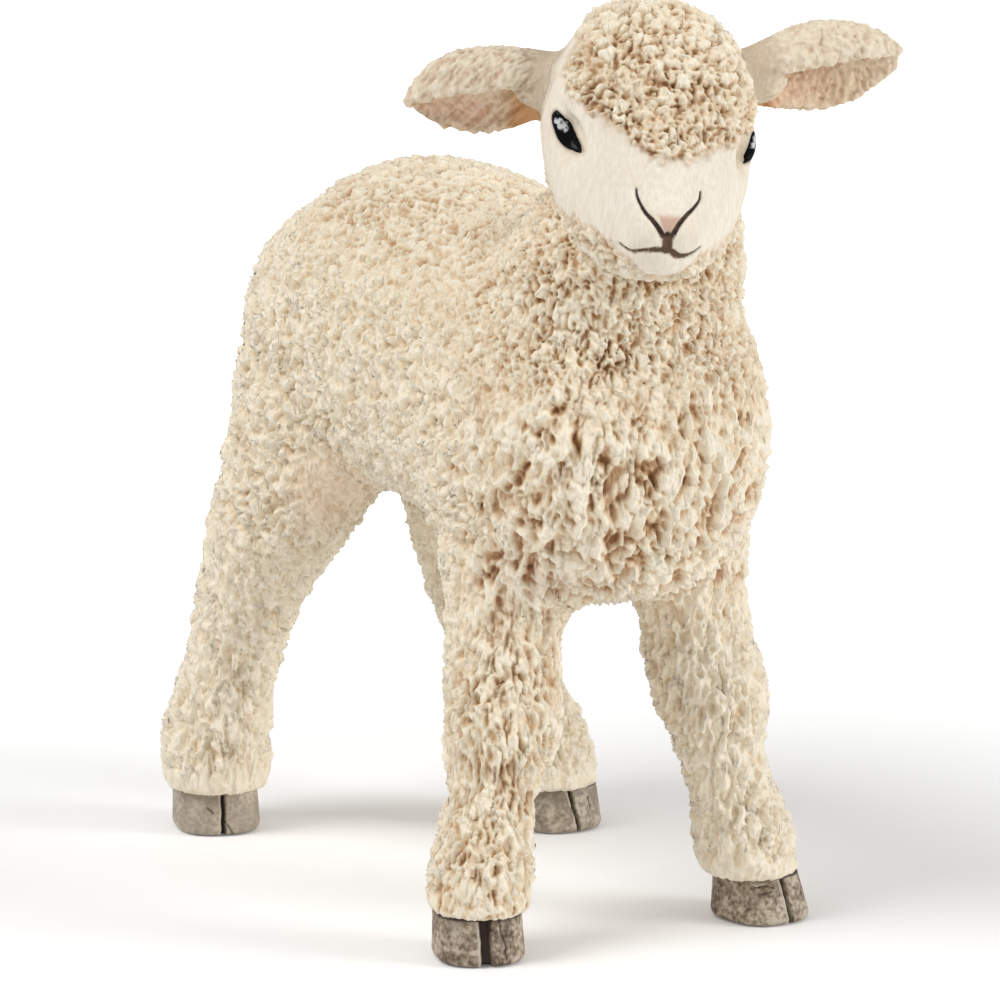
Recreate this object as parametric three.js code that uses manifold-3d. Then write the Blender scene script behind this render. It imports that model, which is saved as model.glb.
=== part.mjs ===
// A toy lamb: a standing farm animal figure, moulded in soft plastic and painted by hand.
// Millimetres, +Z up. The nose points to -Y and the lamb's left side to +X.
// The origin is on the ground, under the middle of the figure's box.
import * as THREE from "three";
import { mergeVertices } from "three/addons/utils/BufferGeometryUtils.js";
import Module from "manifold-3d";

const wasm = await Module();
wasm.setup();

// Fits and cuts
const SEAT_GAP = 0.3; // between a plugged piece and its socket
const CUT_OVERRUN = 2; // how far a cutter runs past what it cuts

// Fleece
const TUFT_HEIGHT = 0.36; // from between the tufts to their tips
const CAP_STAND = 0.2; // how far the cap's fleece stands out over the smooth face

// Torso: a barrel from rump to chest, its middle over Y = 0
const TORSO_LENGTH = 36.4;
const TORSO_WIDTH = 17.2;
const BACK_HEIGHT = 36.9;
const BELLY_HEIGHT = 19.6;
const RUMP_ROUND = 6.4; // the length of the rounded rear end
const CHEST_ROUND = 5;

// Head
const HEAD_BEHIND_CHEST = 2.7; // from the chest's front to the head's middle
const HEAD_ASIDE = 0.45; // towards the lamb's right
const HEAD_HEIGHT = 40.7;
const HEAD_LENGTH = 15.2;
const HEAD_WIDTH = 10.5;
const HEAD_DEPTH = 12.1;
const POLL_ROUND = 1.5;
const NOSE_ROUND = 1;
const HEAD_YAW = THREE.MathUtils.degToRad(-22); // towards the lamb's right
const HEAD_PITCH = THREE.MathUtils.degToRad(15); // nose down
const HEAD_ROLL = THREE.MathUtils.degToRad(5.5);

// Neck, from inside the barrel to inside the head
const NECK_WIDTH = 9.4;
const NECK_DEPTH = 10;
const NECK_BASE_HEIGHT = 25;
const NECK_BASE_BEHIND_CHEST = 7.2;
const NECK_TOP_BELOW_HEAD = 0.2; // from the head's middle down to the neck's top
const NECK_TOP_BEHIND_HEAD = 0.2;
const NECK_ROUND = 2;

// Ears
const EAR_LENGTH = 9.6;
const EAR_WIDTH = 5.4;
const EAR_CUP = 1.5; // how far the ear's back stands behind its open side
const EAR_LOWER_EDGE = THREE.MathUtils.degToRad(-80); // round the section, from its back
const EAR_UPPER_EDGE = THREE.MathUtils.degToRad(160);
const EAR_PLUG_LENGTH = 2.2;
const EAR_PLUG_RADIUS = 1.25;
const EAR_ROUND = 0.4;
const EAR_ROOT_OUT_SHARE = 0.667; // of half the head's width, to the plugged root's end
const EAR_ROOT_BACK_SHARE = 0.08; // of the head's length
const EAR_ROOT_UP_SHARE = 0.24; // of the head's depth
const RIGHT_EAR_SWEEP = THREE.MathUtils.degToRad(30); // backwards
const RIGHT_EAR_DROOP = THREE.MathUtils.degToRad(27);
const RIGHT_EAR_TURN = THREE.MathUtils.degToRad(16); // turns the hollow from facing forwards to facing down
const LEFT_EAR_SWEEP = THREE.MathUtils.degToRad(6);
const LEFT_EAR_DROOP = THREE.MathUtils.degToRad(-10);
const LEFT_EAR_TURN = THREE.MathUtils.degToRad(4);

// Eyes
const EYE_LENGTH = 2.75;
const EYE_TOP = 0.32;
const EYE_BOTTOM = 1;
const EYE_DEPTH = 1.5;
const EYE_BULGE = 0.45;
const EYE_OUT_SHARE = 0.838; // of half the head's width
const EYE_FORWARD_SHARE = 0.243; // of the head's length
const EYE_UP_SHARE = 0.157; // of the head's depth
const EYE_OUTWARD = THREE.MathUtils.degToRad(58); // from straight ahead
const EYE_UPWARD = THREE.MathUtils.degToRad(12);
const EYE_SLANT = THREE.MathUtils.degToRad(28); // inner corner down

// Tail
const TAIL_LENGTH = 11.5;
const TAIL_WIDTH = 4.4;
const TAIL_DEPTH = 3.4;
const TAIL_TOP_BELOW_BACK = 4.5;
const TAIL_ROOT_IN_RUMP = 3.5; // how deep the plugged root lies in the rump
const TAIL_REACH = 3.7; // how far the tail's middle swings out behind its root
const TAIL_ROUND = 1.1;

// Legs: where each is rooted in the barrel, and where its foot stands. Inside is measured from the flank.
const LEG_WIDTH = 5.4;
const LEG_DEPTH = 5.8;
const LEG_ROUND = 2;
const CUFF_HEIGHT = 2.4; // from the ground to the lower edge of the fleece
const FRONT_ROOT_HEIGHT = 27.5;
const FRONT_ROOT_BEHIND_CHEST = 8.2;
const FRONT_RIGHT_ROOT_INSIDE = 3.6;
const FRONT_LEFT_ROOT_INSIDE = 3.3;
const FRONT_RIGHT_FOOT_INSIDE = 0.1;
const FRONT_LEFT_FOOT_INSIDE = 1.25;
const FRONT_STEP = 3.3; // how far the front feet stand in front of their roots
const KNEE_BOW = 0.5; // forwards
const HIND_ROOT_HEIGHT = 28;
const HIND_ROOT_BEFORE_RUMP = 8.9;
const HIND_ROOT_INSIDE = 3.2;
const HIND_RIGHT_FOOT_INSIDE = 1.8;
const HIND_LEFT_FOOT_OUTSIDE = 0.1;
const HIND_RIGHT_STEP = 8.4; // how far the right hind foot stands behind its root
const HIND_LEFT_STEP = 0.2; // how far the left hind foot stands in front of its root
const HOCK_BOW = 6.2; // how far the left hock stands out behind

// Hooves
const HOOF_WIDTH = 4.6;
const HOOF_LENGTH = 5;
const HOOF_TOP_INSET = 0.35; // how far the hoof's top edge lies inside its sole's
const HOOF_SOLE_ROUND = 0.35;
const TOE_SLOPE = 0.45; // how far the toe leans out from top to sole
const CLEFT_WIDTH = 0.7;
const CLEFT_LENGTH = 3.4;
const CLEFT_TAPER_SHARE = 0.5; // of its width, left at its end
const FRONT_LEFT_HOOF_OUT = 0.75; // how far the hoof stands outside its leg's foot
const HIND_LEFT_HOOF_OUT = 0.4;
const FRONT_RIGHT_TOE_OUT = THREE.MathUtils.degToRad(20);
const FRONT_LEFT_TOE_OUT = THREE.MathUtils.degToRad(8);
const HIND_RIGHT_TOE_OUT = THREE.MathUtils.degToRad(18);
const SPIGOT_RADIUS = 1.1;
const SPIGOT_LENGTH = 1.3;

// Facets
const BODY_SIDES = 32;
const BODY_RINGS = 16;
const LIMB_SIDES = 16;
const LIMB_RINGS = 14;
const SMALL_SIDES = 16;
const ROUND_RINGS = 4;
const LEG_RINGS = 20;
const ROUND_LAST_SHARE = 0.6; // of a step, left flat at the tip of a rounded end

const X = new THREE.Vector3(1, 0, 0);
const Y = new THREE.Vector3(0, 1, 0);
const Z = new THREE.Vector3(0, 0, 1);

const FLANK_X = TORSO_WIDTH / 2;
const RUMP_Y = TORSO_LENGTH / 2;
const CHEST_Y = -TORSO_LENGTH / 2;
const HEAD_Y = CHEST_Y + HEAD_BEHIND_CHEST;

const PAINT = {
  fleece: { color: 0xe9dcc0, roughness: 0.8, metalness: 0 },
  face: { color: 0xefe6d6, roughness: 0.75, metalness: 0 },
  hoof: { color: 0x9a8c7c, roughness: 0.6, metalness: 0 },
  eye: { color: 0x0a0a0c, roughness: 0.15, metalness: 0 },
};

// A superellipse's share of its half size in one direction.
function superShare(value, power) {
  return Math.sign(value) * Math.pow(Math.abs(value), 2 / power);
}

// One closed outline: across is the half size along u, over and under the half sizes along +v and -v.
function ringPoints({ centre, across, over, under, u, v, power, sides }) {
  return Array.from({ length: sides }, (_, i) => {
    const angle = (2 * Math.PI * i) / sides;
    const side = superShare(Math.cos(angle), power);
    const rise = superShare(Math.sin(angle), power);
    const reach = rise * (rise > 0 ? over : under);
    return centre.clone().addScaledVector(u, across * side).addScaledVector(v, reach);
  });
}

function middleOf(points) {
  return points.reduce((sum, p) => sum.add(p), new THREE.Vector3()).divideScalar(points.length);
}

// Joins outlines into one closed surface, with a fan over each end, and turns it to face out.
function skin(rings) {
  const sides = rings[0].length;
  const points = rings.flat();
  const ends = [rings[0], rings.at(-1)].map(middleOf);
  const faces = [];
  rings.slice(1).forEach((_, k) => {
    for (let i = 0; i < sides; i += 1) {
      const j = (i + 1) % sides;
      const [a, b, c, d] = [k * sides + i, k * sides + j, (k + 1) * sides + j, (k + 1) * sides + i];
      // The diagonals change sides in turn, so that a tuft's tip stands alone.
      faces.push(...((k + i) % 2 ? [[a, b, c], [a, c, d]] : [[a, b, d], [b, c, d]]));
    }
  });
  const [first, last] = [points.length, points.length + 1];
  const top = (rings.length - 1) * sides;
  for (let i = 0; i < sides; i += 1) {
    const j = (i + 1) % sides;
    faces.push([first, j, i], [last, top + i, top + j]);
  }
  points.push(...ends);
  const volume = faces.reduce(
    (sum, [a, b, c]) => sum + points[a].dot(points[b].clone().cross(points[c])),
    0,
  );
  const index = faces.flatMap(([a, b, c]) => (volume > 0 ? [a, b, c] : [a, c, b]));
  return new THREE.BufferGeometry().setFromPoints(points).setIndex(index);
}

// Every other point of fleecy outlines is the tip of a tuft, and the points between lie lower.
function tufted(rings, fleecy) {
  return rings.map((ring, k) => {
    const middle = middleOf(ring);
    return ring.map((p, i) => {
      const lift = (k + i) % 2 ? -TUFT_HEIGHT / 2 : TUFT_HEIGHT / 2;
      return p.clone().addScaledVector(p.clone().sub(middle).normalize(), fleecy(p, lift));
    });
  });
}

// A smooth or fleecy body through key outlines, each { centre, across, over, under }, with rounded ends.
// A grown copy is larger all round, and serves as the cutter of a socket.
function loft(keys, how) {
  const { u, v, power = 2, sides = LIMB_SIDES, rings = LIMB_RINGS, startRound, endRound, grow = 0 } = how;
  const { fleecy } = how;
  const centres = new THREE.CatmullRomCurve3(keys.map((k) => k.centre));
  const halves = new THREE.CatmullRomCurve3(keys.map((k) => new THREE.Vector3(k.across, k.over, k.under)));
  const outlines = Array.from({ length: rings + 1 }, (_, i) => ({
    centre: centres.getPoint(i / rings),
    half: halves.getPoint(i / rings).addScalar(grow),
  }));
  const outline = ({ centre, half }, shrink, shift) =>
    ringPoints({
      centre: centre.clone().add(shift),
      across: half.x * shrink,
      over: half.y * shrink,
      under: half.z * shrink,
      u,
      v,
      power,
      sides,
    });
  const rounded = (last, before, height) =>
    Array.from({ length: ROUND_RINGS }, (_, k) => {
      const angle = ((k + 1) / (ROUND_RINGS + ROUND_LAST_SHARE)) * (Math.PI / 2);
      const away = last.centre.clone().sub(before.centre).setLength((height + grow) * Math.sin(angle));
      return outline(last, Math.cos(angle), away);
    });
  const body = outlines.map((o) => outline(o, 1, new THREE.Vector3()));
  if (startRound > 0) body.unshift(...rounded(outlines[0], outlines[1], startRound).reverse());
  if (endRound > 0) body.push(...rounded(outlines.at(-1), outlines.at(-2), endRound));
  return skin(fleecy ? tufted(body, fleecy) : body);
}

// A closed geometry as a solid that can be joined and cut.
function solid(geometry, matrix) {
  const bare = geometry.clone();
  if (matrix) bare.applyMatrix4(matrix);
  bare.deleteAttribute("normal");
  bare.deleteAttribute("uv");
  const merged = mergeVertices(bare);
  const triVerts = Uint32Array.from(merged.index.array);
  // A mirrored placement turns the faces inside out, so their order is turned back.
  if (matrix && matrix.determinant() < 0) triVerts.reverse();
  const mesh = new wasm.Mesh({ numProp: 3, vertProperties: merged.attributes.position.array, triVerts });
  return new wasm.Manifold(mesh);
}

// A solid as a geometry.
function geometryOf(made) {
  const { vertProperties, triVerts } = made.getMesh();
  const geometry = new THREE.BufferGeometry();
  geometry.setAttribute("position", new THREE.BufferAttribute(vertProperties, 3));
  geometry.setIndex(new THREE.BufferAttribute(triVerts, 1));
  return geometry;
}

function piece(name, geometry, paint) {
  const mesh = new THREE.Mesh(geometry, new THREE.MeshStandardMaterial(PAINT[paint]));
  mesh.name = name;
  return mesh;
}

// The barrel's outlines, from rump to chest: shares of its length, width and depth.
const BARREL_SHARES = [
  { along: 0, across: 0.8, top: 0.88, bottom: 0.15 },
  { along: 0.15, across: 0.96, top: 1, bottom: 0.04 },
  { along: 0.35, across: 0.99, top: 0.99, bottom: 0.01 },
  { along: 0.55, across: 0.99, top: 0.95, bottom: -0.02 },
  { along: 0.75, across: 1, top: 0.94, bottom: -0.1 },
  { along: 0.9, across: 0.99, top: 0.92, bottom: -0.15 },
  { along: 1, across: 0.9, top: 0.88, bottom: -0.13 },
];

function barrel() {
  const depth = BACK_HEIGHT - BELLY_HEIGHT;
  const straight = TORSO_LENGTH - RUMP_ROUND - CHEST_ROUND;
  const keys = BARREL_SHARES.map(({ along, across, top, bottom }) => ({
    centre: new THREE.Vector3(
      0,
      RUMP_Y - RUMP_ROUND - along * straight,
      BELLY_HEIGHT + (depth * (top + bottom)) / 2,
    ),
    across: (across * TORSO_WIDTH) / 2,
    over: (depth * (top - bottom)) / 2,
    under: (depth * (top - bottom)) / 2,
  }));
  const ends = { startRound: RUMP_ROUND, endRound: CHEST_ROUND };
  return loft(keys, { u: X, v: Z, power: 2.2, sides: BODY_SIDES, rings: BODY_RINGS, ...ends });
}

// The neck's outlines, from its base to its top: shares of its height and lean, and of its width and depth.
const NECK_SHARES = [
  { up: 0, forward: 0, width: 1.2, front: 0.95, back: 1.7 },
  { up: 0.28, forward: 0.1, width: 1.42, front: 1.1, back: 2.1 },
  { up: 0.5, forward: 0.38, width: 1.36, front: 1.02, back: 1.8 },
  { up: 0.68, forward: 0.66, width: 1.2, front: 1, back: 1.35 },
  { up: 0.85, forward: 0.9, width: 1, front: 0.96, back: 1.06 },
  { up: 1, forward: 1, width: 0.92, front: 0.92, back: 0.92 },
];

function neck() {
  const keys = NECK_SHARES.map(({ up, forward, width, front, back }) => ({
    centre: new THREE.Vector3(
      0,
      THREE.MathUtils.lerp(CHEST_Y + NECK_BASE_BEHIND_CHEST, HEAD_Y + NECK_TOP_BEHIND_HEAD, forward),
      THREE.MathUtils.lerp(NECK_BASE_HEIGHT, HEAD_HEIGHT - NECK_TOP_BELOW_HEAD, up),
    ),
    across: (width * NECK_WIDTH) / 2,
    over: (back * NECK_DEPTH) / 2,
    under: (front * NECK_DEPTH) / 2,
  }));
  return loft(keys, { u: X, v: Y, sides: BODY_SIDES, startRound: NECK_ROUND, endRound: NECK_ROUND });
}

// The head's outlines, from its back to its nose: shares of its length, width and depth.
const HEAD_SHARES = [
  { along: 0.31, across: 0.68, top: 0.4, bottom: -0.24 },
  { along: 0.16, across: 0.91, top: 0.55, bottom: -0.36 },
  { along: 0, across: 1, top: 0.59, bottom: -0.41 },
  { along: -0.16, across: 0.98, top: 0.54, bottom: -0.42 },
  { along: -0.29, across: 0.88, top: 0.38, bottom: -0.415 },
  { along: -0.4, across: 0.73, top: 0.22, bottom: -0.39 },
  { along: -0.48, across: 0.57, top: 0.11, bottom: -0.34 },
  { along: -0.53, across: 0.42, top: 0.03, bottom: -0.27 },
];

// The cap's lower edge, from the middle of the forehead out to the cheek: shares of the head's half width
// and of its depth. Behind the cheek the fleece covers the whole head.
const CAP_EDGE_SHARES = [
  { out: 0, up: 0.1 },
  { out: 0.35, up: 0.2 },
  { out: 0.6, up: 0.27 },
  { out: 1, up: 0.3 },
];
const CHEEK_END_SHARE = 0.06; // of the head's length, behind its middle

function capFleece(p, lift) {
  if (p.y > CHEEK_END_SHARE * HEAD_LENGTH) return lift;
  const out = Math.abs(p.x) / (HEAD_WIDTH / 2);
  const next = CAP_EDGE_SHARES.findIndex((share) => share.out > out);
  const [a, b] = next > 0 ? [CAP_EDGE_SHARES[next - 1], CAP_EDGE_SHARES[next]] : CAP_EDGE_SHARES.slice(-2);
  const edge = THREE.MathUtils.mapLinear(out, a.out, b.out, a.up, b.up) * HEAD_DEPTH;
  return p.z > edge ? lift + CAP_STAND / 2 : -CAP_STAND / 2;
}

function headShape(grow = 0) {
  const keys = HEAD_SHARES.map(({ along, across, top, bottom }) => ({
    centre: new THREE.Vector3(0, along * HEAD_LENGTH, ((top + bottom) * HEAD_DEPTH) / 2),
    across: (across * HEAD_WIDTH) / 2,
    over: ((top - bottom) * HEAD_DEPTH) / 2,
    under: ((top - bottom) * HEAD_DEPTH) / 2,
  }));
  const ends = { startRound: POLL_ROUND, endRound: NOSE_ROUND };
  const facets = { sides: BODY_SIDES, rings: BODY_RINGS };
  return loft(keys, { u: X, v: Z, power: 2.15, fleecy: capFleece, grow, ...facets, ...ends });
}

// The ear's leaf, rolled over along its upper edge. Shares of its length, width, cup and wall.
const EAR_SHARES = [
  { along: 0.12, width: 0.56, cup: 0.8, wall: 0.92 },
  { along: 0.24, width: 0.72, cup: 0.95, wall: 0.75 },
  { along: 0.4, width: 0.92, cup: 1, wall: 0.52 },
  { along: 0.58, width: 1, cup: 0.95, wall: 0.48 },
  { along: 0.74, width: 0.9, cup: 0.8, wall: 0.5 },
  { along: 0.87, width: 0.66, cup: 0.6, wall: 0.58 },
  { along: 0.96, width: 0.38, cup: 0.42, wall: 0.7 },
  { along: 1, width: 0.22, cup: 0.3, wall: 0.85 },
];

function earSection(x, high, deep, wall, grow) {
  const from = EAR_LOWER_EDGE - grow / high;
  const to = EAR_UPPER_EDGE + grow / high;
  const along = Array.from({ length: LIMB_SIDES }, (_, i) =>
    THREE.MathUtils.lerp(from, to, i / (LIMB_SIDES - 1)),
  );
  const arc = (angles, inset) =>
    angles.map((t) => new THREE.Vector3(x, (deep - inset) * Math.cos(t), (high - inset) * Math.sin(t)));
  return [...arc(along, -grow), ...arc(along.toReversed(), wall + grow)];
}

function earLeaf(grow) {
  const sizes = new THREE.CatmullRomCurve3(
    EAR_SHARES.map(({ width, cup, wall }) => new THREE.Vector3(width, cup, wall)),
  );
  const places = new THREE.CatmullRomCurve3(EAR_SHARES.map(({ along }) => new THREE.Vector3(along, 0, 0)));
  const sections = Array.from({ length: LIMB_RINGS + 1 }, (_, i) => {
    const { x: width, y: cup, z: wall } = sizes.getPoint(i / LIMB_RINGS);
    const deep = cup * EAR_CUP;
    const thick = Math.min(wall * deep, deep - 2 * grow);
    const x = places.getPoint(i / LIMB_RINGS).x * EAR_LENGTH;
    return earSection(x, (width * EAR_WIDTH) / 2, deep, thick, Math.min(grow, (deep - thick) / 2));
  });
  return skin(sections);
}

function earPlug(grow) {
  const keys = [0, EAR_PLUG_LENGTH].map((x) => ({
    centre: new THREE.Vector3(x, 0, 0),
    across: EAR_PLUG_RADIUS,
    over: EAR_PLUG_RADIUS,
    under: EAR_PLUG_RADIUS,
  }));
  return loft(keys, { u: Z, v: Y, rings: 2, startRound: EAR_ROUND, endRound: EAR_PLUG_RADIUS, grow });
}

const ear = (grow = 0) => geometryOf(solid(earPlug(grow)).add(solid(earLeaf(grow))));

// A place on the head for one side's piece, in shares of the head's half width, length and depth.
// The other side's place is its mirror image.
function sidePlace(side, outShare, forwardShare, upShare, turn) {
  const half = new THREE.Group();
  const place = new THREE.Group();
  half.scale.x = side;
  half.add(place);
  place.position.set((outShare * HEAD_WIDTH) / 2, -forwardShare * HEAD_LENGTH, upShare * HEAD_DEPTH);
  turn(place);
  half.updateMatrixWorld(true);
  return place;
}

function earPlace(side, sweep, droop, turn) {
  return sidePlace(side, EAR_ROOT_OUT_SHARE, -EAR_ROOT_BACK_SHARE, EAR_ROOT_UP_SHARE, (place) => {
    place.rotateZ(sweep);
    place.rotateY(droop);
    place.rotateX(turn);
  });
}

// The eye: a domed almond, its long axis along X, its face to -Y.
function eye(grow = 0) {
  const keys = [EYE_DEPTH, 0].map((behind) => ({
    centre: new THREE.Vector3(0, behind, 0),
    across: EYE_LENGTH / 2,
    over: EYE_TOP,
    under: EYE_BOTTOM,
  }));
  return loft(keys, { u: X, v: Z, power: 1.5, sides: SMALL_SIDES, rings: 2, endRound: EYE_BULGE, grow });
}

function eyePlace(side) {
  return sidePlace(side, EYE_OUT_SHARE, EYE_FORWARD_SHARE, EYE_UP_SHARE, (place) => {
    place.rotateZ(EYE_OUTWARD);
    place.rotateX(-EYE_UPWARD);
    place.rotateY(-EYE_SLANT);
  });
}

// Legs. Each outline: shares of the way up from cuff to root, of the way from foot to root, of the bow,
// and of the leg's width and depth.
const FRONT_LEG_SHARES = [
  { up: 0, travel: 0, bow: 0, width: 0.95, depth: 0.91 },
  { up: 0.08, travel: 0.08, bow: 0, width: 0.95, depth: 0.91 },
  { up: 0.16, travel: 0.24, bow: 0.2, width: 0.84, depth: 0.79 },
  { up: 0.24, travel: 0.46, bow: 0.5, width: 0.81, depth: 0.76 },
  { up: 0.32, travel: 0.6, bow: 1, width: 1.04, depth: 0.98 },
  { up: 0.4, travel: 0.7, bow: 0.9, width: 1.07, depth: 1 },
  { up: 0.5, travel: 0.83, bow: 0.2, width: 1.04, depth: 1 },
  { up: 0.62, travel: 0.96, bow: 0, width: 1.1, depth: 1.12 },
  { up: 0.74, travel: 1, bow: 0, width: 1.15, depth: 1.3 },
  { up: 0.88, travel: 1, bow: 0, width: 1.15, depth: 1.4 },
  { up: 1, travel: 1, bow: 0, width: 1, depth: 1.24 },
];
const HIND_LEG_SHARES = [
  { up: 0, travel: 0, bow: 0, width: 0.98, depth: 0.93 },
  { up: 0.08, travel: 0, bow: 0.2, width: 1.02, depth: 0.97 },
  { up: 0.17, travel: 0.05, bow: 0.5, width: 0.93, depth: 0.9 },
  { up: 0.25, travel: 0.15, bow: 0.75, width: 0.84, depth: 0.84 },
  { up: 0.34, travel: 0.26, bow: 0.97, width: 0.85, depth: 0.9 },
  { up: 0.43, travel: 0.38, bow: 1, width: 0.93, depth: 1.08 },
  { up: 0.52, travel: 0.54, bow: 0.88, width: 1.07, depth: 1.4 },
  { up: 0.61, travel: 0.72, bow: 0.6, width: 1.18, depth: 1.7 },
  { up: 0.72, travel: 0.9, bow: 0.3, width: 1.22, depth: 1.86 },
  { up: 0.86, travel: 1, bow: 0.05, width: 1.18, depth: 1.93 },
  { up: 1, travel: 1, bow: 0, width: 1.04, depth: 1.6 },
];

// Each leg: its side, outlines, root and foot, its bow backwards, and its hoof's shift and turn outwards.
const FRONT = {
  shares: FRONT_LEG_SHARES,
  rootY: CHEST_Y + FRONT_ROOT_BEHIND_CHEST,
  rootHeight: FRONT_ROOT_HEIGHT,
  footY: CHEST_Y + FRONT_ROOT_BEHIND_CHEST - FRONT_STEP,
  bow: -KNEE_BOW,
};
const HIND = {
  shares: HIND_LEG_SHARES,
  rootY: RUMP_Y - HIND_ROOT_BEFORE_RUMP,
  rootHeight: HIND_ROOT_HEIGHT,
  rootOut: FLANK_X - HIND_ROOT_INSIDE,
};
const LEGS = {
  front_right: {
    ...FRONT,
    side: -1,
    rootOut: FLANK_X - FRONT_RIGHT_ROOT_INSIDE,
    footOut: FLANK_X - FRONT_RIGHT_FOOT_INSIDE,
    hoofOut: 0,
    toeOut: FRONT_RIGHT_TOE_OUT,
  },
  front_left: {
    ...FRONT,
    side: 1,
    rootOut: FLANK_X - FRONT_LEFT_ROOT_INSIDE,
    footOut: FLANK_X - FRONT_LEFT_FOOT_INSIDE,
    hoofOut: FRONT_LEFT_HOOF_OUT,
    toeOut: FRONT_LEFT_TOE_OUT,
  },
  hind_right: {
    ...HIND,
    side: -1,
    footOut: FLANK_X - HIND_RIGHT_FOOT_INSIDE,
    footY: HIND.rootY + HIND_RIGHT_STEP,
    bow: 0,
    hoofOut: 0,
    toeOut: HIND_RIGHT_TOE_OUT,
  },
  hind_left: {
    ...HIND,
    side: 1,
    footOut: FLANK_X + HIND_LEFT_FOOT_OUTSIDE,
    footY: HIND.rootY - HIND_LEFT_STEP,
    bow: HOCK_BOW,
    hoofOut: HIND_LEFT_HOOF_OUT,
    toeOut: 0,
  },
};

function leg({ side, shares, footOut, footY, bow, rootOut, rootY, rootHeight }, grow = 0) {
  const keys = shares.map((s) => ({
    centre: new THREE.Vector3(
      side * THREE.MathUtils.lerp(footOut, rootOut, s.travel),
      THREE.MathUtils.lerp(footY, rootY, s.travel) + bow * s.bow,
      THREE.MathUtils.lerp(CUFF_HEIGHT, rootHeight, s.up),
    ),
    across: (s.width * LEG_WIDTH) / 2,
    over: (s.depth * LEG_DEPTH) / 2,
    under: (s.depth * LEG_DEPTH) / 2,
  }));
  return loft(keys, { u: X, v: Y, rings: LEG_RINGS, fleecy: (p, lift) => lift, endRound: LEG_ROUND, grow });
}

// The hoof, with its toe to -Y: outlines from sole to top.
function hoofWall() {
  const levels = [
    { up: 0, inset: HOOF_SOLE_ROUND },
    { up: HOOF_SOLE_ROUND, inset: 0 },
    { up: CUFF_HEIGHT - SEAT_GAP, inset: HOOF_TOP_INSET },
  ];
  const rings = levels.map(({ up, inset }) =>
    ringPoints({
      centre: new THREE.Vector3(0, (TOE_SLOPE * up) / CUFF_HEIGHT, up),
      across: HOOF_WIDTH / 2 - inset,
      over: HOOF_LENGTH / 2 - inset,
      under: HOOF_LENGTH / 2 - inset,
      u: X,
      v: Y,
      power: 2.5,
      sides: SMALL_SIDES,
    }),
  );
  return skin(rings);
}

function cleft() {
  const half = CLEFT_WIDTH / 2;
  const front = -HOOF_LENGTH / 2 - CUT_OVERRUN;
  const shape = new THREE.Shape([
    new THREE.Vector2(-half, front),
    new THREE.Vector2(half, front),
    new THREE.Vector2(half * CLEFT_TAPER_SHARE, CLEFT_LENGTH - HOOF_LENGTH / 2),
    new THREE.Vector2(-half * CLEFT_TAPER_SHARE, CLEFT_LENGTH - HOOF_LENGTH / 2),
  ]);
  return new THREE.ExtrudeGeometry(shape, {
    depth: CUFF_HEIGHT + 2 * CUT_OVERRUN,
    bevelEnabled: false,
  }).translate(0, 0, -CUT_OVERRUN);
}

function spigot(grow = 0) {
  const length = SPIGOT_LENGTH + SEAT_GAP;
  return new THREE.CylinderGeometry(SPIGOT_RADIUS + grow, SPIGOT_RADIUS + grow, length + grow, SMALL_SIDES)
    .rotateX(Math.PI / 2)
    .translate(0, 0, CUFF_HEIGHT - SEAT_GAP + (length + grow) / 2);
}

function hoofPlace({ side, footOut, footY, hoofOut, toeOut }) {
  const place = new THREE.Group();
  place.position.set(side * (footOut + hoofOut), footY, 0);
  place.rotation.z = side * toeOut;
  place.updateMatrixWorld(true);
  return place;
}

// The tail hangs from the rump: outlines from its plugged root to its tip.
const TAIL_SHARES = [
  { down: 0, out: 0, width: 0.8, depth: 0.8 },
  { down: 0.15, out: 0.55, width: 0.92, depth: 0.9 },
  { down: 0.4, out: 1, width: 1, depth: 1 },
  { down: 0.7, out: 1.12, width: 0.96, depth: 0.95 },
  { down: 1, out: 1.02, width: 0.72, depth: 0.7 },
];

function tail(grow = 0) {
  const keys = TAIL_SHARES.map(({ down, out, width, depth }) => ({
    centre: new THREE.Vector3(
      0,
      RUMP_Y - TAIL_ROOT_IN_RUMP + out * TAIL_REACH,
      BACK_HEIGHT - TAIL_TOP_BELOW_BACK - down * TAIL_LENGTH,
    ),
    across: (width * TAIL_WIDTH) / 2,
    over: (depth * TAIL_DEPTH) / 2,
    under: (depth * TAIL_DEPTH) / 2,
  }));
  return loft(keys, { u: X, v: Y, startRound: TAIL_ROUND, endRound: TAIL_ROUND, grow });
}

// The head stands on the neck in its own turned frame.
function headPlace() {
  const place = new THREE.Group();
  place.position.set(-HEAD_ASIDE, HEAD_Y, HEAD_HEIGHT);
  place.rotateZ(HEAD_YAW);
  place.rotateX(HEAD_PITCH);
  place.rotateY(HEAD_ROLL);
  place.updateMatrixWorld(true);
  return place;
}

const headFrame = headPlace();
const lamb = new THREE.Group();

// Legs and hooves, each leg plugged into the torso and each hoof into its leg
const headRoom = solid(headShape(SEAT_GAP), headFrame.matrixWorld);
const tailRoom = solid(tail(SEAT_GAP));
let torso = solid(barrel()).add(solid(neck())).subtract(headRoom).subtract(tailRoom);
for (const [name, spec] of Object.entries(LEGS)) {
  const place = hoofPlace(spec);
  const hoofRoom = solid(spigot(SEAT_GAP), place.matrixWorld);
  const shank = solid(leg(spec)).subtract(hoofRoom).subtract(headRoom).subtract(tailRoom);
  const hoof = solid(hoofWall()).subtract(solid(cleft())).add(solid(spigot()));
  torso = torso.subtract(solid(leg(spec, SEAT_GAP)));
  place.add(piece(name + "_hoof", geometryOf(hoof), "hoof"));
  lamb.add(piece(name + "_leg", geometryOf(shank), "fleece"), place);
}
lamb.add(piece("torso", geometryOf(torso), "fleece"), piece("tail", tail(), "fleece"));

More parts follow.
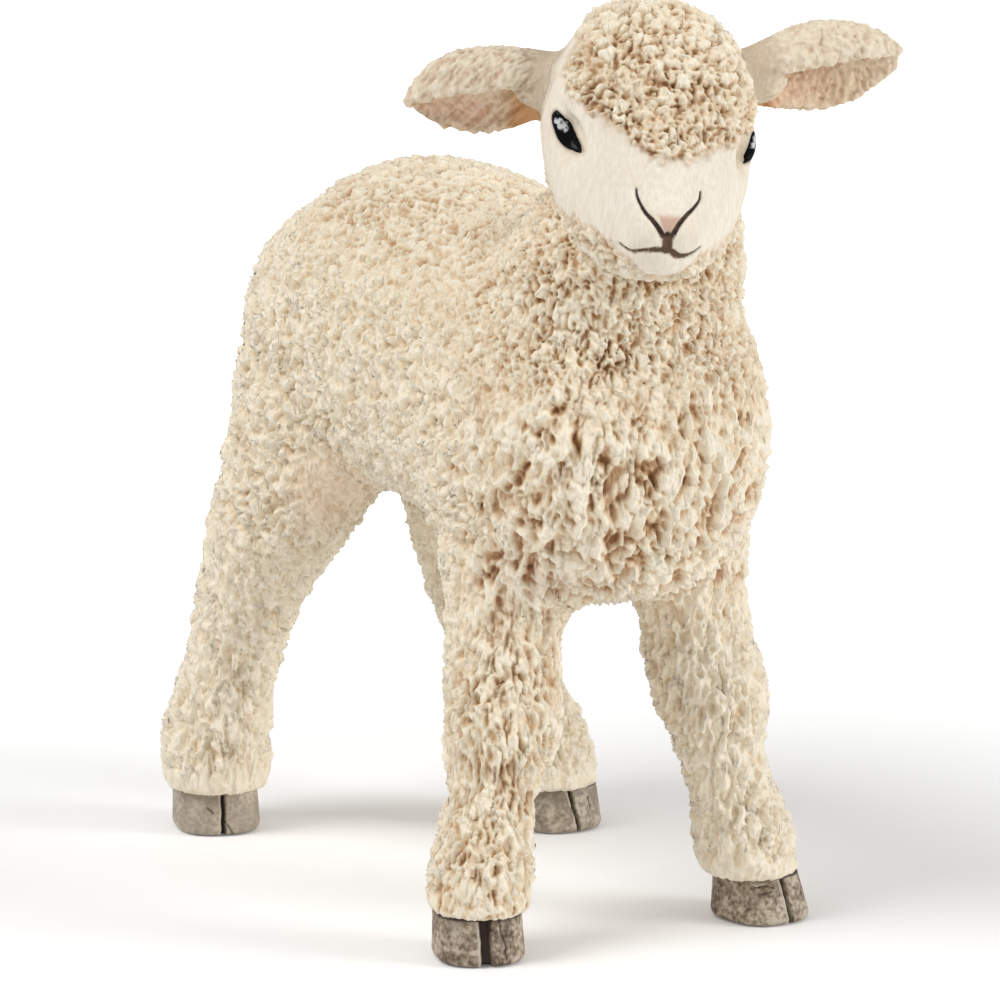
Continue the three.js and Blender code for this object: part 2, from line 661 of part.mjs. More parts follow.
// Head, with the ears and eyes plugged in
const RIGHT_EAR = earPlace(-1, RIGHT_EAR_SWEEP, RIGHT_EAR_DROOP, RIGHT_EAR_TURN);
const LEFT_EAR = earPlace(1, LEFT_EAR_SWEEP, LEFT_EAR_DROOP, LEFT_EAR_TURN);
const PLUGS = {
  right_ear: { place: RIGHT_EAR, shape: ear, paint: "face" },
  left_ear: { place: LEFT_EAR, shape: ear, paint: "face" },
  right_eye: { place: eyePlace(-1), shape: eye, paint: "eye" },
  left_eye: { place: eyePlace(1), shape: eye, paint: "eye" },
};
let head = solid(headShape());
for (const [name, { place, shape, paint }] of Object.entries(PLUGS)) {
  head = head.subtract(solid(shape(SEAT_GAP), place.matrixWorld));
  place.add(piece(name, shape(), paint));
  headFrame.add(place.parent);
}
headFrame.add(piece("head", geometryOf(head), "face"));
lamb.add(headFrame);

// The ground comes under the soles, and the figure's middle over the origin.
const box = new THREE.Box3().setFromObject(lamb, true);
const middle = box.getCenter(new THREE.Vector3());
lamb.position.set(-middle.x, -middle.y, -box.min.z);

export default lamb;
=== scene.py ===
"""A standing woolly toy lamb in painted soft plastic, on a plain pale floor."""
import math
from itertools import product

import bpy
import numpy as np
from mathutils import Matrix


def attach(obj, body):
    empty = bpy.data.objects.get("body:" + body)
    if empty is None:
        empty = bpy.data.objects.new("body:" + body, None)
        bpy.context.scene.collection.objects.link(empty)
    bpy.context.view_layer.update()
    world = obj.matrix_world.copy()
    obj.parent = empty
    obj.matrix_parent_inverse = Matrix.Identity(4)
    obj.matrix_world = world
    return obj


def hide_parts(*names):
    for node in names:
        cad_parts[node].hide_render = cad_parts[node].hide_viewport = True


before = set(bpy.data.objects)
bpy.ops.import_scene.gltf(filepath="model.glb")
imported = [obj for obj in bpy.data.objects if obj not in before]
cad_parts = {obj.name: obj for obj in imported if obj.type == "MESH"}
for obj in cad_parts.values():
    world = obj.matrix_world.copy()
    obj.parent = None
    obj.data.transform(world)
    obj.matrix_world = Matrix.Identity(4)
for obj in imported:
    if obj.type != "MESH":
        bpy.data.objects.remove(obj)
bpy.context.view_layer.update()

import openvdb as vdb
from mathutils import Matrix, Vector

MM = 0.001
LEGS = ["front_left_leg", "front_right_leg", "hind_left_leg", "hind_right_leg"]
HOOVES = [name.replace("leg", "hoof") for name in LEGS]
EARS = ["left_ear", "right_ear"]
SKIN = ["torso", "tail", *LEGS, "head", *EARS]
EYES = ["left_eye", "right_eye"]
EYE_SUNK = 0.42  # the skin runs this far under the solids' eyes, in mm

# The lattice of distances: its step in mm, its corners, and how many steps a distance reaches
STEP = 0.2
LOW = np.floor(np.array([-13.2, -23.6, -1.2]) / STEP).astype(int)
HIGH = np.ceil(np.array([13.2, 23.6, 49.4]) / STEP).astype(int)
BAND = 11


def turned(z, x, y):
    """A turn about Z, X and Y, in degrees."""
    out = Matrix.Rotation(math.radians(z), 3, "Z")
    out = out @ Matrix.Rotation(math.radians(x), 3, "X")
    return out @ Matrix.Rotation(math.radians(y), 3, "Y")


# The head's own frame: its middle in mm, and its turn, nose down and tilt
HEAD_MIDDLE = np.array([-1.079, -14.069, 40.7])
HEAD_TURN = turned(-22, 15, 5.5)
HEAD_AXES = np.array(HEAD_TURN)


# Distances and volumes

def mesh_of(o):
    """An object's points in mm and its triangles."""
    mesh = o.data
    mesh.calc_loop_triangles()
    co = np.empty(len(mesh.vertices) * 3, np.float32)
    mesh.vertices.foreach_get("co", co)
    tri = np.empty(len(mesh.loop_triangles) * 3, np.int32)
    mesh.loop_triangles.foreach_get("vertices", tri)
    return co.reshape(-1, 3) / MM, tri.reshape(-1, 3)


def level_set(name):
    """A solid's distances on the lattice, in mm, less than zero inside it."""
    co, tri = mesh_of(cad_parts[name])
    grid = vdb.FloatGrid.createLevelSetFromPolygons(
        co.astype(np.float64), triangles=tri.astype(np.uint32),
        transform=vdb.createLinearTransform(STEP), halfWidth=BAND)
    out = np.full(tuple(HIGH - LOW), BAND * STEP, np.float32)
    grid.copyToArray(out, ijk=tuple(int(v) for v in LOW))
    return out


def blur(field, sigma):
    """Gaussian blur, sigma in lattice steps."""
    reach = int(math.ceil(sigma * 2.6))
    weights = np.exp(-0.5 * (np.arange(-reach, reach + 1) / sigma) ** 2)
    weights = (weights / weights.sum()).astype(np.float32)
    for axis in range(3):
        wide = np.pad(field, [(reach, reach) if a == axis else (0, 0) for a in range(3)], mode="edge")
        size = field.shape[axis]
        field = sum(
            w * np.take(wide, np.arange(k, k + size), axis=axis) for k, w in enumerate(weights)
        )
    return field


def join(a, b, soft):
    """The union of two fields, with a fillet about soft mm wide."""
    h = np.clip(soft - np.abs(a - b), 0, None) / soft
    return np.minimum(a, b) - h * h * soft / 4


class Lattice:
    """A field on the lattice, read smoothly at any point."""

    def __init__(self, field):
        self.field = field
        self.flat = field.ravel()

    def read(self, points, slope=False):
        size = np.array(self.field.shape)
        q = np.clip(points / STEP - LOW, 1.5, size - 2.5)
        i = np.floor(q + 0.5).astype(np.int64)
        f = (q - i).astype(np.float32)
        w = [0.5 * (0.5 - f) ** 2, 0.75 - f * f, 0.5 * (0.5 + f) ** 2]
        d = [f - 0.5, -2 * f, f + 0.5]
        at = (i[:, 0] * size[1] + i[:, 1]) * size[2] + i[:, 2]
        value = np.zeros(len(points), np.float32)
        grad = np.zeros((len(points), 3), np.float32)
        for a, b, c in product(range(3), repeat=3):
            got = self.flat[at + ((a - 1) * size[1] + (b - 1)) * size[2] + (c - 1)]
            wa, wb, wc = w[a][:, 0], w[b][:, 1], w[c][:, 2]
            value += wa * wb * wc * got
            if slope:
                grad[:, 0] += d[a][:, 0] * wb * wc * got
                grad[:, 1] += wa * d[b][:, 1] * wc * got
                grad[:, 2] += wa * wb * d[c][:, 2] * got
        return (value, grad / STEP) if slope else value

    def near(self, points):
        """A quicker reading, for masks."""
        size = self.field.shape
        q = np.clip(points / STEP - LOW, 0, np.array(size) - 1.001)
        i, f = cell_of(q)
        at = (i[:, 0] * size[1] + i[:, 1]) * size[2] + i[:, 2]
        out = 0
        for a, b, c in product((0, 1), repeat=3):
            w = (f[:, 0] if a else 1 - f[:, 0]) * (f[:, 1] if b else 1 - f[:, 1])
            w = w * (f[:, 2] if c else 1 - f[:, 2])
            out = out + w * self.flat[at + (a * size[1] + b) * size[2] + c]
        return out

    def settle(self, points, rounds=3):
        """Moves points onto the surface."""
        for _ in range(rounds):
            value, grad = self.read(points, slope=True)
            points = points - grad * (value / np.maximum((grad ** 2).sum(1), 0.05))[:, None]
        return points

    def surface(self):
        """The surface as points and triangles."""
        grid = vdb.FloatGrid(float(self.field.max()))
        grid.copyFromArray(np.ascontiguousarray(self.field), ijk=tuple(int(v) for v in LOW))
        grid.transform = vdb.createLinearTransform(STEP)
        points, quads = grid.convertToQuads(isovalue=0.0)
        points, quads = points.astype(np.float64), quads.astype(np.int64)
        return points, outward(points, np.concatenate([quads[:, [0, 1, 2]], quads[:, [0, 2, 3]]]))


# Triangle meshes as arrays

def outward(points, tri):
    """A closed form's triangles, turned to face outwards."""
    a, b, c = points[tri].transpose(1, 0, 2)
    return tri if np.einsum("ij,ij->i", a, np.cross(b, c)).sum() > 0 else tri[:, ::-1].copy()


def edges_of(tri):
    pairs = np.sort(np.concatenate([tri[:, [0, 1]], tri[:, [1, 2]], tri[:, [2, 0]]]), axis=1)
    key = pairs[:, 0] * (tri.max() + 1) + pairs[:, 1]
    _, first, back = np.unique(key, return_index=True, return_inverse=True)
    return pairs[first], back.reshape(3, -1).T


def neighbour_mean(values, edges):
    n = len(values)
    a, b = edges[:, 0], edges[:, 1]
    count = np.bincount(a, minlength=n) + np.bincount(b, minlength=n)
    flat = values.reshape(n, -1)
    out = np.stack(
        [np.bincount(a, flat[b, k], n) + np.bincount(b, flat[a, k], n) for k in range(flat.shape[1])], 1)
    return (out / count[:, None]).reshape(values.shape)


def refine(points, tri, part, longest):
    """Halves each edge longer than longest says for its middle, and keeps the mesh whole."""
    edges, of_tri = edges_of(tri)
    a, b = points[edges[:, 0]], points[edges[:, 1]]
    middle = (a + b) / 2
    split = np.linalg.norm(a - b, axis=1) > longest(middle)
    number = np.where(split, len(points) + np.cumsum(split) - 1, -1)
    m = number[of_tri]
    cut = m >= 0
    count = cut.sum(1)
    # Each triangle is turned so that its cut edges come first.
    turn = np.zeros(len(tri), np.int64)
    turn[(count == 1) & cut[:, 1]] = 1
    turn[(count == 1) & cut[:, 2]] = 2
    turn[(count == 2) & ~cut[:, 0]] = 1
    turn[(count == 2) & ~cut[:, 1]] = 2
    pick = (turn[:, None] + np.arange(3)) % 3
    t, m = np.take_along_axis(tri, pick, 1), np.take_along_axis(m, pick, 1)
    v0, v1, v2 = t.T
    m0, m1, m2 = m.T
    made, made_part = [t[count == 0]], [part[count == 0]]
    for k, rows in ((1, [(v0, m0, v2), (m0, v1, v2)]),
                    (2, [(m0, v1, m1), (v0, m0, m1), (v0, m1, v2)]),
                    (3, [(v0, m0, m2), (m0, v1, m1), (m2, m1, v2), (m0, m1, m2)])):
        made += [np.stack([x[count == k] for x in row], 1) for row in rows]
        made_part += [part[count == k]] * len(rows)
    return np.concatenate([points, middle[split]]), np.concatenate(made), np.concatenate(made_part)


# Noise

# Large odd numbers that scatter the bits of a cell's place and seed
SCATTER = (73856093, 19349663, 83492791, 915488749)
SCATTER_AGAIN = (2246822519, 3266489917)


def hashed(ix, iy, iz, seed):
    h = (ix * SCATTER[0]) ^ (iy * SCATTER[1]) ^ (iz * SCATTER[2]) ^ (seed * SCATTER[3])
    h = h.astype(np.uint32)
    h = (h ^ (h >> np.uint32(15))) * np.uint32(SCATTER_AGAIN[0])
    h = (h ^ (h >> np.uint32(13))) * np.uint32(SCATTER_AGAIN[1])
    return h ^ (h >> np.uint32(16))


ARROW_COUNT = 4096  # a power of two
CELL_MARGIN = 0.05  # how near to its cell's walls a scattered spot may lie
ARROWS = np.random.default_rng(7).standard_normal((ARROW_COUNT, 3)).astype(np.float32)
ARROWS /= np.linalg.norm(ARROWS, axis=1, keepdims=True)


def cell_of(points):
    """The cell of each place, and where in it the place lies, from 0 to 1."""
    i = np.floor(points).astype(np.int64)
    return i, (points - i).astype(np.float32)


def noise(points, seed):
    """Gradient noise, about -1 to 1, one wave per unit."""
    i, f = cell_of(points)
    u = f * f * f * (f * (f * 6 - 15) + 10)
    out = np.zeros(len(points), np.float32)
    for corner in product((0, 1), repeat=3):
        g = ARROWS[hashed(*(i + corner).T, seed) & np.uint32(ARROW_COUNT - 1)]
        w = np.ones(len(points), np.float32)
        dot = np.zeros(len(points), np.float32)
        for axis, step in enumerate(corner):
            w *= u[:, axis] if step else 1 - u[:, axis]
            dot += g[:, axis] * (f[:, axis] - step)
        out += w * dot
    return out * 1.6


def warped(points, reach, cell, seed):
    """Points moved about by up to about reach, in waves as long as cell."""
    moves = [noise(points / cell + 11.3 * k, seed + 31 * k) for k in range(3)]
    return points + reach * np.stack(moves, 1)


def scattered(points, seed):
    """For each cell around a point: the way to the spot scattered in it, and a share of its own."""
    i, f = cell_of(points)
    for cell in product((-1, 0, 1), repeat=3):
        h = hashed(*(i + cell).T, seed)
        way = []
        for axis, step in enumerate(cell):
            share = ((h >> np.uint32(10 * axis)) & np.uint32(1023)).astype(np.float32)
            way.append(step + CELL_MARGIN + share * ((1 - 2 * CELL_MARGIN) / 1023) - f[:, axis])
        yield way, ((h >> np.uint32(4)) & np.uint32(255)).astype(np.float32) / 255


def locks(at, size, hang, seed):
    """Overlapping locks that hang down, from 0 in the creases to about 1 on their tips."""
    q = warped(at / size, 0.34, 0.9, seed)
    q = warped(q, 0.24, 0.42, seed + 5)
    best = np.full(len(q), -9, np.float32)
    second = best.copy()
    for (x, y, z), own in scattered(q, seed + 3):
        high = 0.8 + 0.4 * own - 0.95 * (x * x + y * y + z * z) + hang * np.clip(z, -0.6, 0.6)
        second = np.maximum(second, np.minimum(best, high))
        best = np.maximum(best, high)
    parted = ramp(-0.45, 0.15, noise(q / 1.1, seed + 7))
    crease = np.exp(-((best - second) / 0.2) ** 2) * (0.25 + 0.75 * parted)
    return np.clip(best - 0.6 * crease, 0, 1.2)


def pits(at, size, seed):
    """Thin walls round wide pits, from 0 to 1."""
    q = warped(at / size, 0.36, 0.95, seed)
    q = warped(q, 0.2, 0.38, seed + 5)
    near = np.full(len(q), 9, np.float32)
    second = near.copy()
    for (x, y, z), _ in scattered(q, seed + 3):
        gap = x * x + y * y + z * z
        second = np.minimum(second, np.maximum(near, gap))
        near = np.minimum(near, gap)
    return np.exp(-((np.sqrt(second) - np.sqrt(near)) / 0.2) ** 2)


def worms(at, size, seed):
    """Winding ridges, from 0 to 1."""
    q = warped(at / size, 0.3, 0.9, seed)
    return np.clip(1.1 - np.abs(noise(q / 0.52, seed + 2)) * 2.7, 0, 1) ** 0.9


def where(mask, make, at):
    """The values that make gives, only where the mask isn't zero."""
    out = np.zeros(len(mask), np.float32)
    used = mask > 0.003
    out[used] = make(at[used])
    return out


def lengths(line):
    """How far along a polyline each of its points is."""
    return np.concatenate([[0], np.cumsum(np.linalg.norm(np.diff(line, axis=0), axis=1))])


def to_line(at, line):
    """How far points in a plane are from a polyline, and where along it, from 0 to 1."""
    run = lengths(line)
    best, along = np.full(len(at), 99.0), np.zeros(len(at))
    for k, (a, b) in enumerate(zip(line[:-1], line[1:])):
        step = b - a
        t = np.clip(((at - a) @ step) / (step @ step), 0, 1)
        gap = np.linalg.norm(at - a - t[:, None] * step, axis=1)
        nearer = gap < best
        best[nearer] = gap[nearer]
        along[nearer] = (run[k] + t[nearer] * (run[k + 1] - run[k])) / run[-1]
    return best, along


def curve(points, steps=6):
    """A smooth polyline through a few points."""
    p = np.array(points, float)
    p = np.concatenate([[2 * p[0] - p[1]], p, [2 * p[-1] - p[-2]]])
    out = []
    for k in range(1, len(p) - 2):
        for t in np.arange(steps) / steps:
            a, b, c, d = p[k - 1: k + 3]
            out.append(0.5 * (2 * b + (c - a) * t + (2 * a - 5 * b + 4 * c - d) * t ** 2
                              + (3 * b - a - 3 * c + d) * t ** 3))
    return np.array(out + [p[-2]])


def ramp(low, high, value):
    """From 0 at low to 1 at high, with soft ends."""
    t = np.clip((value - low) / (high - low), 0, 1)
    return t * t * (3 - 2 * t)


def blob(at, middle, size, power=1.0):
    """1 in the middle of an ellipsoid, and 0 well outside it."""
    return np.exp(-(((at - np.array(middle)) / size) ** 2).sum(1) ** power)


# Smooth skin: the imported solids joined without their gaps

# How much each is smoothed in lattice steps, how far it is then grown, and its fillet, in mm
SMOOTHED = {"torso": 3.2, "legs": 1.5, "head": 1.8, "ears": 0.7, "whole": 0.6}
GROWN = {"torso": 0.05, "legs": 0.03, "head": 0.03}
FILLET = {"legs": 2.2, "tail": 1.2, "eyes": 0.5, "ears": 0.9, "head": 0.9}

fields = {name: level_set(name) for name in SKIN}
fleece = blur(fields["torso"], SMOOTHED["torso"]) - GROWN["torso"]
for name in LEGS:
    fleece = join(fleece, blur(fields[name], SMOOTHED["legs"]) - GROWN["legs"], FILLET["legs"])
fleece = join(fleece, fields["tail"], FILLET["tail"])
head = fields["head"]
for name in EYES:
    head = join(head, level_set(name) + EYE_SUNK, FILLET["eyes"])
head = blur(head, SMOOTHED["head"]) - GROWN["head"]
for name in EARS:
    head = join(head, blur(fields[name], SMOOTHED["ears"]), FILLET["ears"])
whole = Lattice(blur(join(fleece, head, FILLET["head"]), SMOOTHED["whole"]))


def evened(points, edges, share, rounds):
    """Moves each point towards the middle of its neighbours, and back onto the surface."""
    for _ in range(rounds):
        points = whole.settle(points + share * (neighbour_mean(points, edges) - points), 1)
    return points


points, tri = whole.surface()
edges, _ = edges_of(tri)
points = evened(whole.settle(points), edges, 0.6, 4)


# Which piece each triangle belongs to: the nearest solid, with the torso in three stretches

CHEST_BACK = -7.5
RUMP_FRONT = 5.0
TORSO_PARTS = ["chest", "flanks", "rump"]
PARTS = [*TORSO_PARTS, *SKIN[1:]]


def nearest_part(at):
    solid = np.argmin([Lattice(fields[name]).near(at) for name in SKIN], axis=0)
    stretch = (at[:, 1] > CHEST_BACK).astype(int) + (at[:, 1] > RUMP_FRONT)
    return np.where(solid == 0, stretch, solid + 2)


def across_edges(tri):
    """The three triangles that each triangle shares an edge with."""
    _, of_tri = edges_of(tri)
    order = np.argsort(of_tri.ravel(), kind="stable")
    other = np.empty(len(order), np.int64)
    other[order[0::2]] = order[1::2] // 3
    other[order[1::2]] = order[0::2] // 3
    return other.reshape(-1, 3)


def straightened(part, other):
    """Gives each triangle the part that two of its neighbours share."""
    a, b, c = part[other].T
    return np.where(a == b, a, np.where(b == c, b, np.where(a == c, a, part)))


def gathered(part, other):
    """Gives each loose patch to its surroundings."""
    group = np.arange(len(part))
    while True:
        same = part[other] == part[:, None]
        low = np.minimum(np.where(same, group[other], group[:, None]).min(1), group)
        low = low[low]
        if np.array_equal(low, group):
            break
        group = low
    size = np.bincount(group, minlength=len(part))
    part = part.copy()
    for k in range(len(PARTS)):
        members = np.flatnonzero(part == k)
        part[members[group[members] != group[members][np.argmax(size[group[members]])]]] = -1
    while (part < 0).any():
        part = np.where(part < 0, part[other].max(1), part)
    return part


def border_of(tri):
    """Directed edges that only one of these triangles has."""
    start, end = tri.ravel(), np.roll(tri, -1, axis=1).ravel()
    many = tri.max() + 1
    lone = ~np.isin(start * many + end, end * many + start)
    return start[lone], end[lone]


other = across_edges(tri)
part = nearest_part(points[tri].mean(1))
for _ in range(12):
    part = straightened(part, other)
part = gathered(part, other)
for _ in range(8):
    pinched = np.zeros(len(points), bool)
    for k in range(len(PARTS)):
        start, end = border_of(tri[part == k])
        pinched |= np.bincount(start, minlength=len(points)) > 1
    if not pinched.any():
        break
    touching = np.flatnonzero(pinched[tri].any(1))
    part[touching] = part[touching].min()
    part = gathered(straightened(part, other), other)


def to_head(at):
    """Places in the head's own frame."""
    return (at - HEAD_MIDDLE) @ HEAD_AXES


# The face's lines, across and up on its front

NOSE_LEFT = curve([(-1.54, 0.74), (-1.52, 0.51), (-1.38, 0.24), (-1.15, -0.04), (-0.8, -0.3), (-0.49, -0.6),
                   (-0.2, -1.0)])
NOSE_RIGHT = curve([(1.68, 0.78), (1.62, 0.46), (1.32, 0.18), (0.9, -0.06), (0.54, -0.38), (0.3, -0.8),
                    (0.2, -1.0)])
PHILTRUM = curve([(0.0, -0.9), (0.03, -1.2), (0.04, -1.62)])
MOUTH = curve([(-2.12, -1.93), (-1.86, -2.04), (-1.53, -2.05), (-1.11, -1.87), (-0.54, -1.72),
               (0.19, -1.72), (0.62, -1.97), (1.01, -2.01), (1.5, -1.84), (1.8, -1.64)])
NOSE_WIDTHS = [0.055, 0.085, 0.12, 0.15]
LINES = [
    # the line and its half-widths in mm, from its start to its end
    (NOSE_LEFT, NOSE_WIDTHS),
    (NOSE_RIGHT, NOSE_WIDTHS),
    (PHILTRUM, [0.16, 0.25, 0.27]),
    (MOUTH, [0.05, 0.09, 0.13, 0.16, 0.19, 0.11, 0.06]),
]

# The eye's outline in its own plane, along and across, from its outer corner
EYE_UPPER = curve([(1.9, -0.68), (1.8, -0.46), (1.56, -0.35), (1.11, -0.36), (0.55, -0.52), (-0.1, -0.6),
                   (-0.8, -0.64)], 7)
EYE_LOWER = curve([(-0.8, -0.64), (-0.41, -0.9), (-0.06, -1.09), (0.51, -1.19), (1.08, -1.12), (1.64, -1.0),
                   (1.87, -0.84), (1.9, -0.68)], 7)
EYE_PLACE = np.array([4.4, -3.69, 1.9])
EYE_RING = np.concatenate([EYE_UPPER[:-1], EYE_LOWER[:-1]])
# The lamb's left eye is smaller: its size against the right one, and how far it is moved in its plane
LEFT_EYE_SIZE = 0.82
LEFT_EYE_MOVED = np.array([0.342, -0.57])
EYE_TURN = turned(58, -12, -28)


def eye_frame(side):
    mirror = np.diag([side, 1, 1])
    return mirror @ EYE_PLACE, mirror @ np.array(EYE_TURN)


def own_size(flat, side):
    """Places in the plane of the right eye, moved to the same places of this side's eye."""
    return flat * LEFT_EYE_SIZE + LEFT_EYE_MOVED if side > 0 else flat


def in_eye(h, side):
    """Places in an eye's own frame, from places in the head's."""
    origin, axes = eye_frame(side)
    return (h - origin) @ axes


# The longest edges of the mesh, in mm
USUAL_EDGE = 0.17
FRONT_EDGE = 0.14
FACE_EDGE = 0.13
EYE_EDGE = 0.07
LINE_EDGE = 0.05


def longest(at):
    """The longest edge allowed at each place."""
    size = np.full(len(at), USUAL_EDGE)
    h = to_head(at)
    size[(at[:, 1] < -7.5) & (at[:, 2] > 2)] = FRONT_EDGE
    face = (np.linalg.norm(h / [6, 9, 7], axis=1) < 1) & (h[:, 1] < -1)
    size[face] = FACE_EDGE
    front = np.flatnonzero(face & (h[:, 1] < -6) & (np.abs(h[:, 0]) < 2.6))
    flat = h[front][:, [0, 2]]
    gap = np.min([to_line(flat, line)[0] for line, _ in LINES], axis=0)
    size[front[gap < 0.35]] = LINE_EDGE
    for side in (-1, 1):
        size[(np.abs(in_eye(h, side)) < [2.4, 1.6, 1.7]).all(1)] = EYE_EDGE
    return size


for _ in range(4):
    before = len(tri)
    points, tri, part = refine(points, tri, part, longest)
    points = whole.settle(points, 1)
    if len(tri) == before:
        break
edges, _ = edges_of(tri)
points = evened(points, edges, 0.5, 2)
normals = whole.read(points, slope=True)[1]
normals = normals / np.linalg.norm(normals, axis=1, keepdims=True)


# Where each kind of wool grows

h = to_head(points)
x, y, z = points.T
near = {name: Lattice(fields[name]).near(points) for name in SKIN}
ear_gap = np.minimum(near["left_ear"], near["right_ear"])
leg_gap = np.min([near[name] for name in LEGS], axis=0)
wander = 0.3 * noise(points / 0.9, 301)

# How high the wool of the cap ends, and how low the wool of the jaw begins: degrees from the front, mm up
CAP_EDGE = np.array([
    (-96, 3.9), (-72, 3.7), (-57, 3.3), (-36, 3.1), (-26, 2.9), (-19, 2.6), (-13, 2.25), (-6, 2.0),
    (9, 1.95), (14, 2.05), (23, 2.35), (33, 2.4), (48, 2.2), (62, 1.75), (71, 2.1), (93, 2.6)])
JAW_EDGE = np.array([
    (-85, -3.5), (-60, -2.8), (-36, -2.0), (-26, -2.0), (-17, -2.2), (-12.6, -2.5), (-8, -3.1),
    (-2.3, -3.75), (4, -3.85), (7.6, -3.4), (9.4, -2.9), (13, -2.35), (20, -2.15), (30, -2.1),
    (45, -2.5), (62, -3.3), (77, -3.4)])


def above(h, edge):
    """How far above an edge of the wool each place lies."""
    turn = np.degrees(np.arctan2(h[:, 0], -h[:, 1]))
    return h[:, 2] - np.interp(turn, edge[:, 0], edge[:, 1])


ragged = wander + 0.2 * noise(points / 0.35, 303)
cap_height = above(h, CAP_EDGE) + ragged
on_head = ramp(0.8, -0.8, near["head"] - near["torso"]) * ramp(2.1, 1.2, np.minimum(near["head"], ear_gap))
face = 1 - ramp(-0.2, 0.35, cap_height)
face *= ramp(-0.3, 0.45, above(h, JAW_EDGE) + ragged)
face *= 1 - ramp(0.6, 1.5, h[:, 1] + wander)
face *= ramp(0.3, 1.1, near["torso"] + wander)
face *= on_head
ear = ramp(0.9, -0.5, ear_gap - near["head"]) * on_head
root = ramp(2.0, 1.2, ear_gap - near["head"] + ragged) * on_head
bare = np.maximum.reduce([face, ear, root])

left = 1 - bare
shares = {}


def grow(name, mask):
    """Gives a kind of wool its share of what is left."""
    global left
    shares[name] = left * mask
    left = left - shares[name]


grow("cap", on_head * ramp(-1.2, 0.5, h[:, 2]))
legs = ramp(1.6, -1.2, leg_gap - near["torso"]) * ramp(19, 13, z)
grow("front_leg", legs * (y < 0))
grow("hind_leg", legs)
grow("neck", ramp(26, 32, z - 0.25 * (y + 12)) * ramp(-6, -9, y))
grow("chest", ramp(-7.5, -11, y) * ramp(13, 17, z) * ramp(0.05, 0.6, -normals[:, 1]))
grow("back", ramp(0.35, 0.8, normals[:, 2]))
grow("body", np.ones(len(points)))


def curls(worm, worm_size, worm_seed, lock, lock_size, hang, lock_seed):
    """Wool of winding ridges and overlapping locks, from 0 in its pits to about 1 on its ridges."""
    return lambda at: worm * worms(at, worm_size, worm_seed) + lock * locks(at, lock_size, hang, lock_seed)


cap_high = curls(0.4, [0.9, 0.9, 1.3], 11, 0.66, [0.6, 0.6, 1.05], 0.35, 21)
cap_low = curls(0.5, [0.8, 0.8, 0.95], 51, 0.55, [0.44, 0.44, 0.55], 0.2, 52)
leg_wool = curls(0.6, [0.78, 0.78, 2.0], 12, 0.46, [0.5, 0.5, 1.3], 0.4, 22)
neck_wool = curls(0.5, [0.75, 0.75, 1.0], 13, 0.55, [0.48, 0.48, 0.8], 0.35, 23)
chest_curls = curls(0.36, [1.1, 1.1, 1.9], 24, 0.42, [0.72, 0.72, 1.35], 0.45, 34)
body_wool = curls(0.66, [0.95, 0.95, 1.4], 16, 0.42, [0.66, 0.66, 1.0], 0.25, 26)
back_wool = curls(0.62, [0.9, 1.2, 0.9], 15, 0.4, [0.56, 0.66, 0.56], 0, 25)


def cap_wool(at):
    high, low = cap_high(at), cap_low(at)
    return high + ramp(2.6, 0.8, above(at, CAP_EDGE)) * (low - high)


def chest_wool(at):
    return 0.5 * pits(at, [1.5, 1.5, 2.4], 14) + chest_curls(at)


RELIEF = {
    # its wool, height in mm and how dark its pits are painted, washed-in tan with painted shade, least on
    # the hind legs and most on the chest
    "cap": (cap_wool, 0.56, 1.1),
    "front_leg": (leg_wool, 0.54, 0.95),
    "hind_leg": (leg_wool, 0.52, 0.42),
    "neck": (neck_wool, 0.5, 1.05),
    "chest": (chest_wool, 0.68, 1.25),
    "back": (back_wool, 0.42, 0.84),
    "body": (body_wool, 0.68, 0.62),
}
WOOL_MIDDLE = 0.65  # the wool sinks into the skin where it is lower than this
SWELL = 0.1  # slow waves under the wool, in mm
# Painted light: how much paler the lamb's left front leg is painted, standing in for light on it
LEFT_LEG_PAINTED_LIGHT = 0.6
CAP_STANDS_OUT = 0.15
CAP_EDGE_LOWER = 0.45
CUFF_WOOL = 0.25  # how much of its height the wool keeps at the cuffs
# The bulge of the front left cuff: its middle and size, in mm
BULGE = ((9.9, -12.3, 2.8), (1.6, 1.6, 0.9))
BULGE_HEIGHT = 0.6
# The smoother groins: their middle on both sides, size and power
GROIN = ((7, 6.6, 20.2), (2.4, 2.9, 3.0), 1.4)
GROIN_SMOOTH = 0.85

ridge = np.zeros(len(points))
rise = np.zeros(len(points))
uneven = noise(points / 2.1, 43)
# The pits are painted darker: tan paint washed in, and painted shade.
for name, (wool, height, dark) in RELIEF.items():
    got = where(shares[name], wool, h if name == "cap" else points)
    ridge += shares[name] * (1 - dark * (1 + 0.15 * uneven) * (1 - got))
    rise += shares[name] * height * (1 + 0.35 * uneven) * (got - WOOL_MIDDLE)
rise += SWELL * (1 - bare) * noise(points / 1.7, 41)
# Painted light: the lamb's left front leg is painted paler.
ridge += LEFT_LEG_PAINTED_LIGHT * shares["front_leg"] * ramp(1.0, 4.0, x) * np.clip(1 - ridge, 0, 1)
rise += CAP_STANDS_OUT * shares["cap"]
rise *= 1 - shares["cap"] * CAP_EDGE_LOWER * ramp(1.3, 0.0, cap_height)
rise *= CUFF_WOOL + (1 - CUFF_WOOL) * ramp(2.5, 4.4, z)
rise += BULGE_HEIGHT * blob(points, *BULGE)
groin = blob(np.stack([np.abs(x), y, z], 1), *GROIN)
rise *= 1 - GROIN_SMOOTH * groin

# The face's forms: across and up, half as wide and as high, and how far each stands out, in mm

FORMS = [
    (0.05, -0.1, 0.75, 0.6, 0.12),
    (-1.25, -1.1, 0.7, 0.6, 0.14),
    (1.35, -1.1, 0.7, 0.6, 0.14),
    (0.05, -2.85, 1.0, 0.6, 0.24),
    (0.1, -3.6, 1.3, 0.3, -0.1),
]
LINE_DEPTH = 0.13
LINE_SLOPE = 0.06  # how much wider than its ink a line is cut
LINE_WORN = 0.014  # how unevenly wide the lines are
